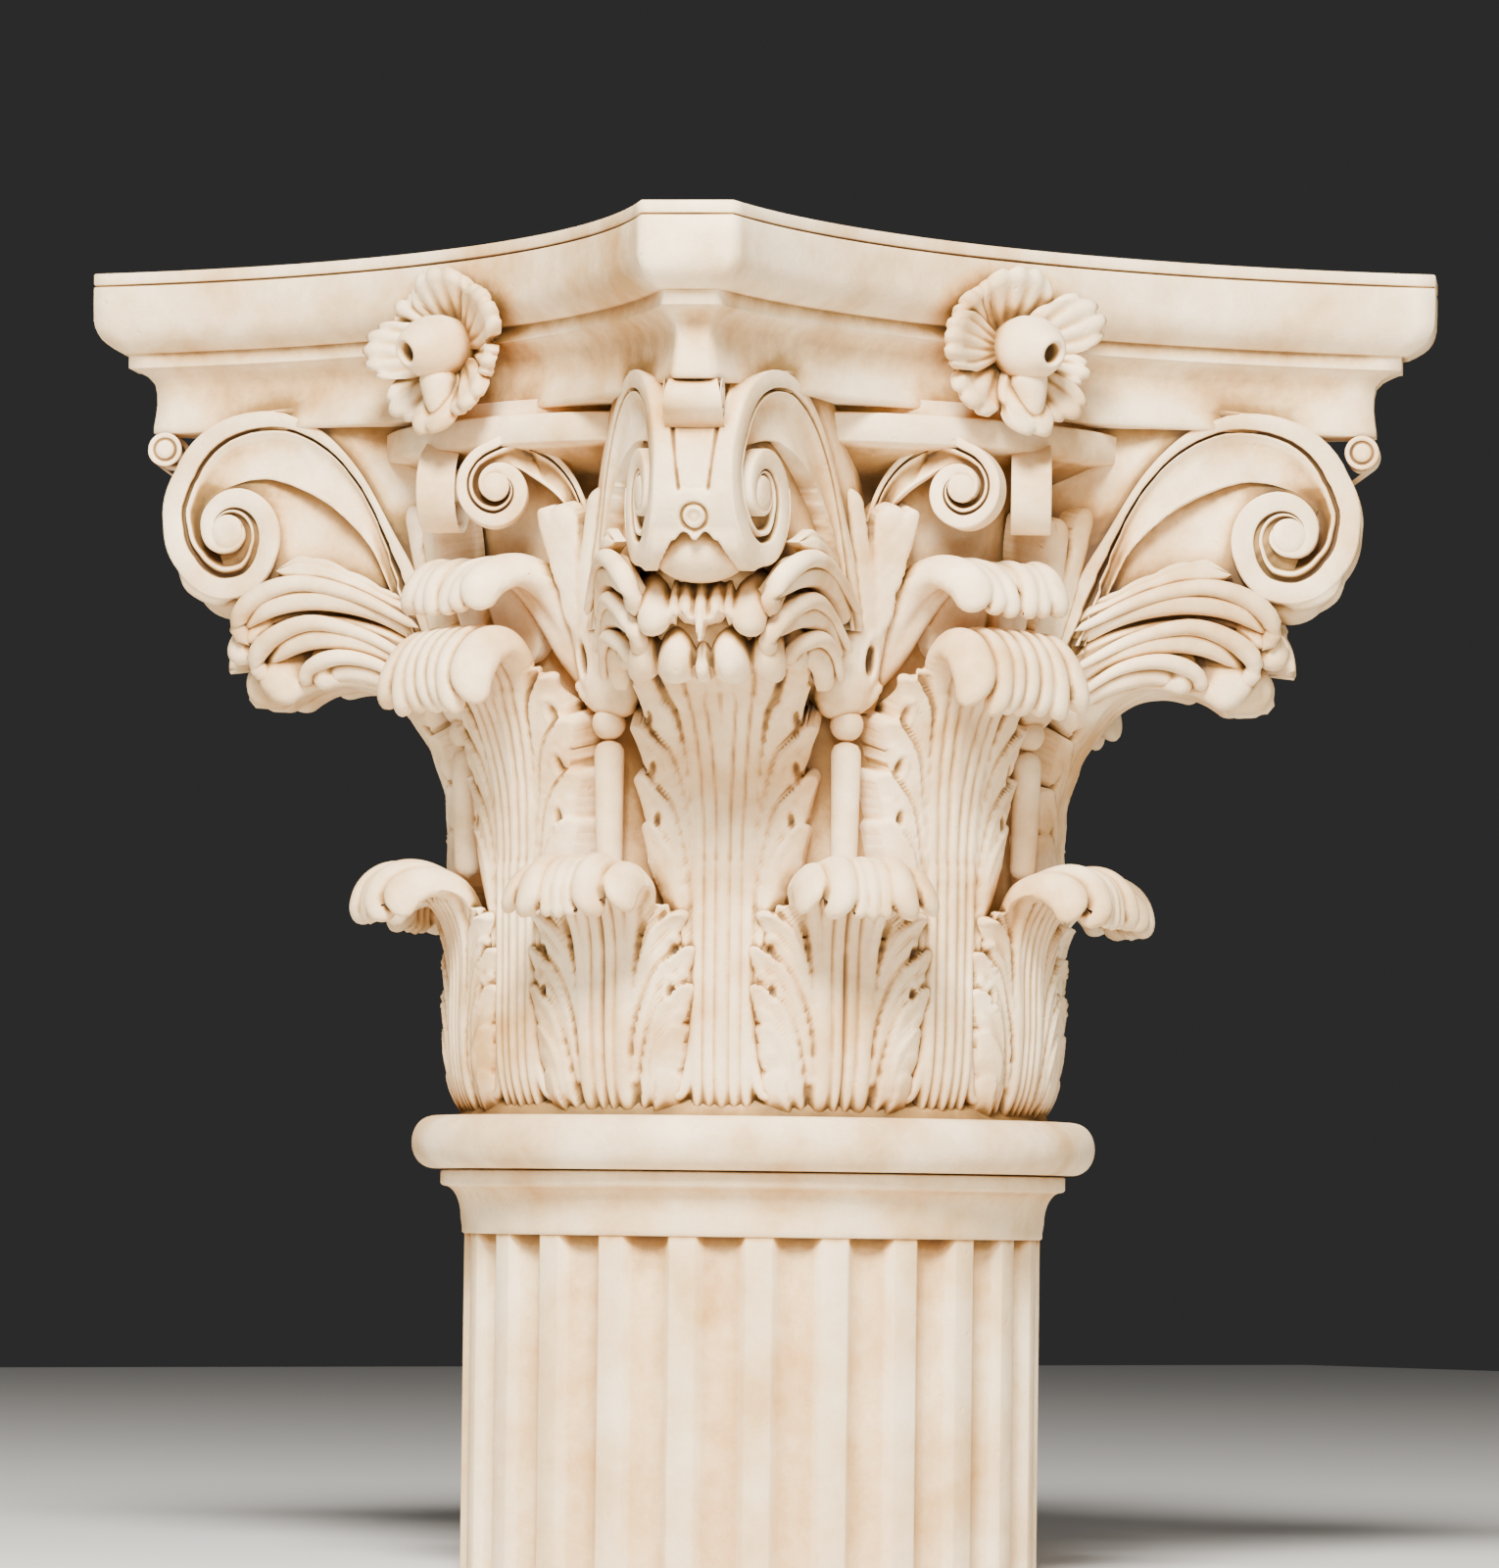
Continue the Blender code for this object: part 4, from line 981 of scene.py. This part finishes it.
def markWashAndShade():
    # Where wash and painted shade go: the share of short rays that hit stone, and how hollow each point
    # lies.
    rays, reach, goldenAngle = washAndShade["rays"], washAndShade["reach"], 2.399963
    verts, faces = joined([meshArrays(mesh) for mesh, _, _ in shapes.values()])
    tree = BVHTree.FromPolygons(verts.tolist(), faces.tolist())
    spread = []
    for k in range(rays):
        up = sqrt(1 - (k + 0.5) / rays * 0.97)
        turn = k * goldenAngle
        flat = sqrt(1 - up * up)
        spread.append((flat * cos(turn), flat * sin(turn), up))
    for mesh, quarter, copies in shapes.values():
        shade = np.zeros(quarter)
        for index in range(quarter):
            vert = mesh.vertices[index]
            normal = vert.normal
            side = normal.orthogonal().normalized()
            other = normal.cross(side)
            start = vert.co / mm + normal * 0.35
            seen = 0.0
            for x, y, z in spread:
                away = side * x + other * y + normal * z
                hit = tree.ray_cast(start, away, reach)[3]
                if hit is not None:
                    seen += 1 - hit / reach
            shade[index] = seen / rays
        edges = np.array([e.vertices for e in mesh.edges])
        edges = edges[(edges < quarter).all(1)]
        points = np.array([v.co for v in mesh.vertices[:quarter]]) / mm
        normals = np.array([v.normal for v in mesh.vertices[:quarter]])
        bowl = np.zeros(quarter)
        count = np.zeros(quarter)
        for a, b in ((0, 1), (1, 0)):
            step = points[edges[:, b]] - points[edges[:, a]]
            rise = (step * normals[edges[:, a]]).sum(1) / (np.linalg.norm(step, axis=1) + 0.05)
            np.add.at(bowl, edges[:, a], np.clip(rise, -0.6, 0.6))
            np.add.at(count, edges[:, a], 1)
        bowl /= np.maximum(count, 1)
        # sheltered and hollow points darken: painted shade together with the wash
        shade = washAndShade["shade"] * shade + washAndShade["offset"] + washAndShade["bowl"] * bowl
        for _ in range(washAndShade["rounds"]):
            total, count = shade.copy(), np.ones(quarter)
            for a, b in ((0, 1), (1, 0)):
                np.add.at(total, edges[:, a], shade[edges[:, b]])
                np.add.at(count, edges[:, a], 1)
            shade = total / count
        # stored per point as the mask of wash and painted shade
        mark = mesh.attributes.new("creviceWashAndShade", "FLOAT", "POINT")
        mark.data.foreach_set("value", np.tile(shade, copies))
    print("crevices marked")


capitalStone = castStone("castStoneCapital", "#CDB187")
shaftStone = castStone("castStoneShaft", "#DCC49E")
capital = ("capital", capitalStone, "capital_stone")

makePiece("shaftHead", shaftShells(), 1, "shaft", shaftStone, "shaft_stone")
makePiece("bellAndTorus", bellShells(), 1, *capital)
makePiece("abacus", abacusShells(), 1, *capital)
lower = frond(lowerLeaf())
makePiece("lowerLeaves", [turned(lower, 22.5), turned(lower, 67.5)], 4, *capital)
makePiece("cornerLeaves", [turned(frond(cornerLeaf()), 45)], 4, *capital)
makePiece("middleLeaves", [frond(middleLeaf())], 4, *capital)
curls = [frond(cornerCurl())]
curls += [ball((203, 0, 398), (16, 23, 14)), ball((207, 0, 416.5), (15, 25, 11))]  # behind their gaps
makePiece("cornerCurls", [turned(shell, 45) for shell in curls], 4, *capital)
makePiece("middleCurls", [frond(middleCurl())], 4, *capital)
for name, build in (("volutes", voluteShells), ("sideLeaves", sideLeafShells), ("tongues", tongueShells)):
    makePiece(name, [turned(s, 45) for s in build()], 4, *capital)
makePiece("helices", helixShells(), 4, *capital)
stalks = caulicoleShells()
stalks = [turned(s, 22.5) for s in stalks] + [turned(mirrored(s), 67.5) for s in stalks]
makePiece("caulicoles", stalks, 4, *capital)
makePiece("flowers", flowerShells(), 4, *capital)
markWashAndShade()


# studio

studio = {
    "azimuth": 51.1,      # degrees from -Y towards +X, the photo's viewing angle
    "distance": 3.75,
    "height": 0.157,
    "pitch": 2.86,
    "roll": 0.0124,
    "aim": 0.000946,      # turns the axis to the photo's middle
    "lens": 197.4,
    "floor": "#D9D4CC",
    "backdrop": 0.03,
    "lamps": [  # name, azimuth from the camera's side, elevation, distance, size, watts
        ("keyLight", -6, 38, 2.6, 0.7, 262),
        ("leftLight", -74, 18, 2.8, 0.9, 10),
        ("rightLight", 70, 18, 2.8, 0.9, 9),
        ("frontLight", 4, 12, 3.4, 0.9, 50),
    ],
}


def addCamera():
    data = bpy.data.cameras.new("studioCamera")
    data.lens = studio["lens"]
    data.sensor_width = 36
    camera = addObject("studioCamera", data)
    a = radians(studio["azimuth"])
    reach = studio["distance"]
    camera.location = (reach * sin(a), -reach * cos(a), studio["height"])
    camera.rotation_mode = "QUATERNION"
    camera.rotation_quaternion = (
        Matrix.Rotation(a + studio["aim"], 3, "Z")
        @ Matrix.Rotation(radians(90 + studio["pitch"]), 3, "X")
        @ Matrix.Rotation(studio["roll"], 3, "Z")
    ).to_quaternion()
    bpy.context.scene.camera = camera


def addSoftbox(name, azimuth, elevation, distance, size, power):
    # Square white soft light that faces the capital.
    data = bpy.data.lights.new(name, "AREA")
    data.size = size
    data.energy = power
    light = addObject(name, data)
    a = radians(studio["azimuth"] + azimuth)
    e = radians(elevation)
    target = Vector((0, 0, 0.36))
    light.location = target + distance * Vector((sin(a) * cos(e), -cos(a) * cos(e), sin(e)))
    light.rotation_mode = "QUATERNION"
    light.rotation_quaternion = (target - light.location).to_track_quat("-Z", "Y")


def addFloor():
    mesh = bpy.data.meshes.new("floor")
    mesh.from_pydata([(-4, -4, 0), (4, -4, 0), (4, 4, 0), (-4, 4, 0)], [], [(0, 1, 2, 3)])
    floor = addObject("floor", mesh)
    material = bpy.data.materials.new("paleFloor")
    material.use_nodes = True
    surface = material.node_tree.nodes["Principled BSDF"]
    surface.inputs["Base Color"].default_value = linear(studio["floor"])
    surface.inputs["Roughness"].default_value = 0.8
    mesh.materials.append(material)


world = bpy.data.worlds.new("studio")
world.use_nodes = True
world.node_tree.nodes["Background"].inputs["Color"].default_value = (studio["backdrop"],) * 3 + (1,)
bpy.context.scene.world = world
addCamera()
for lamp in studio["lamps"]:
    addSoftbox(*lamp)
addFloor()
print("studio set")
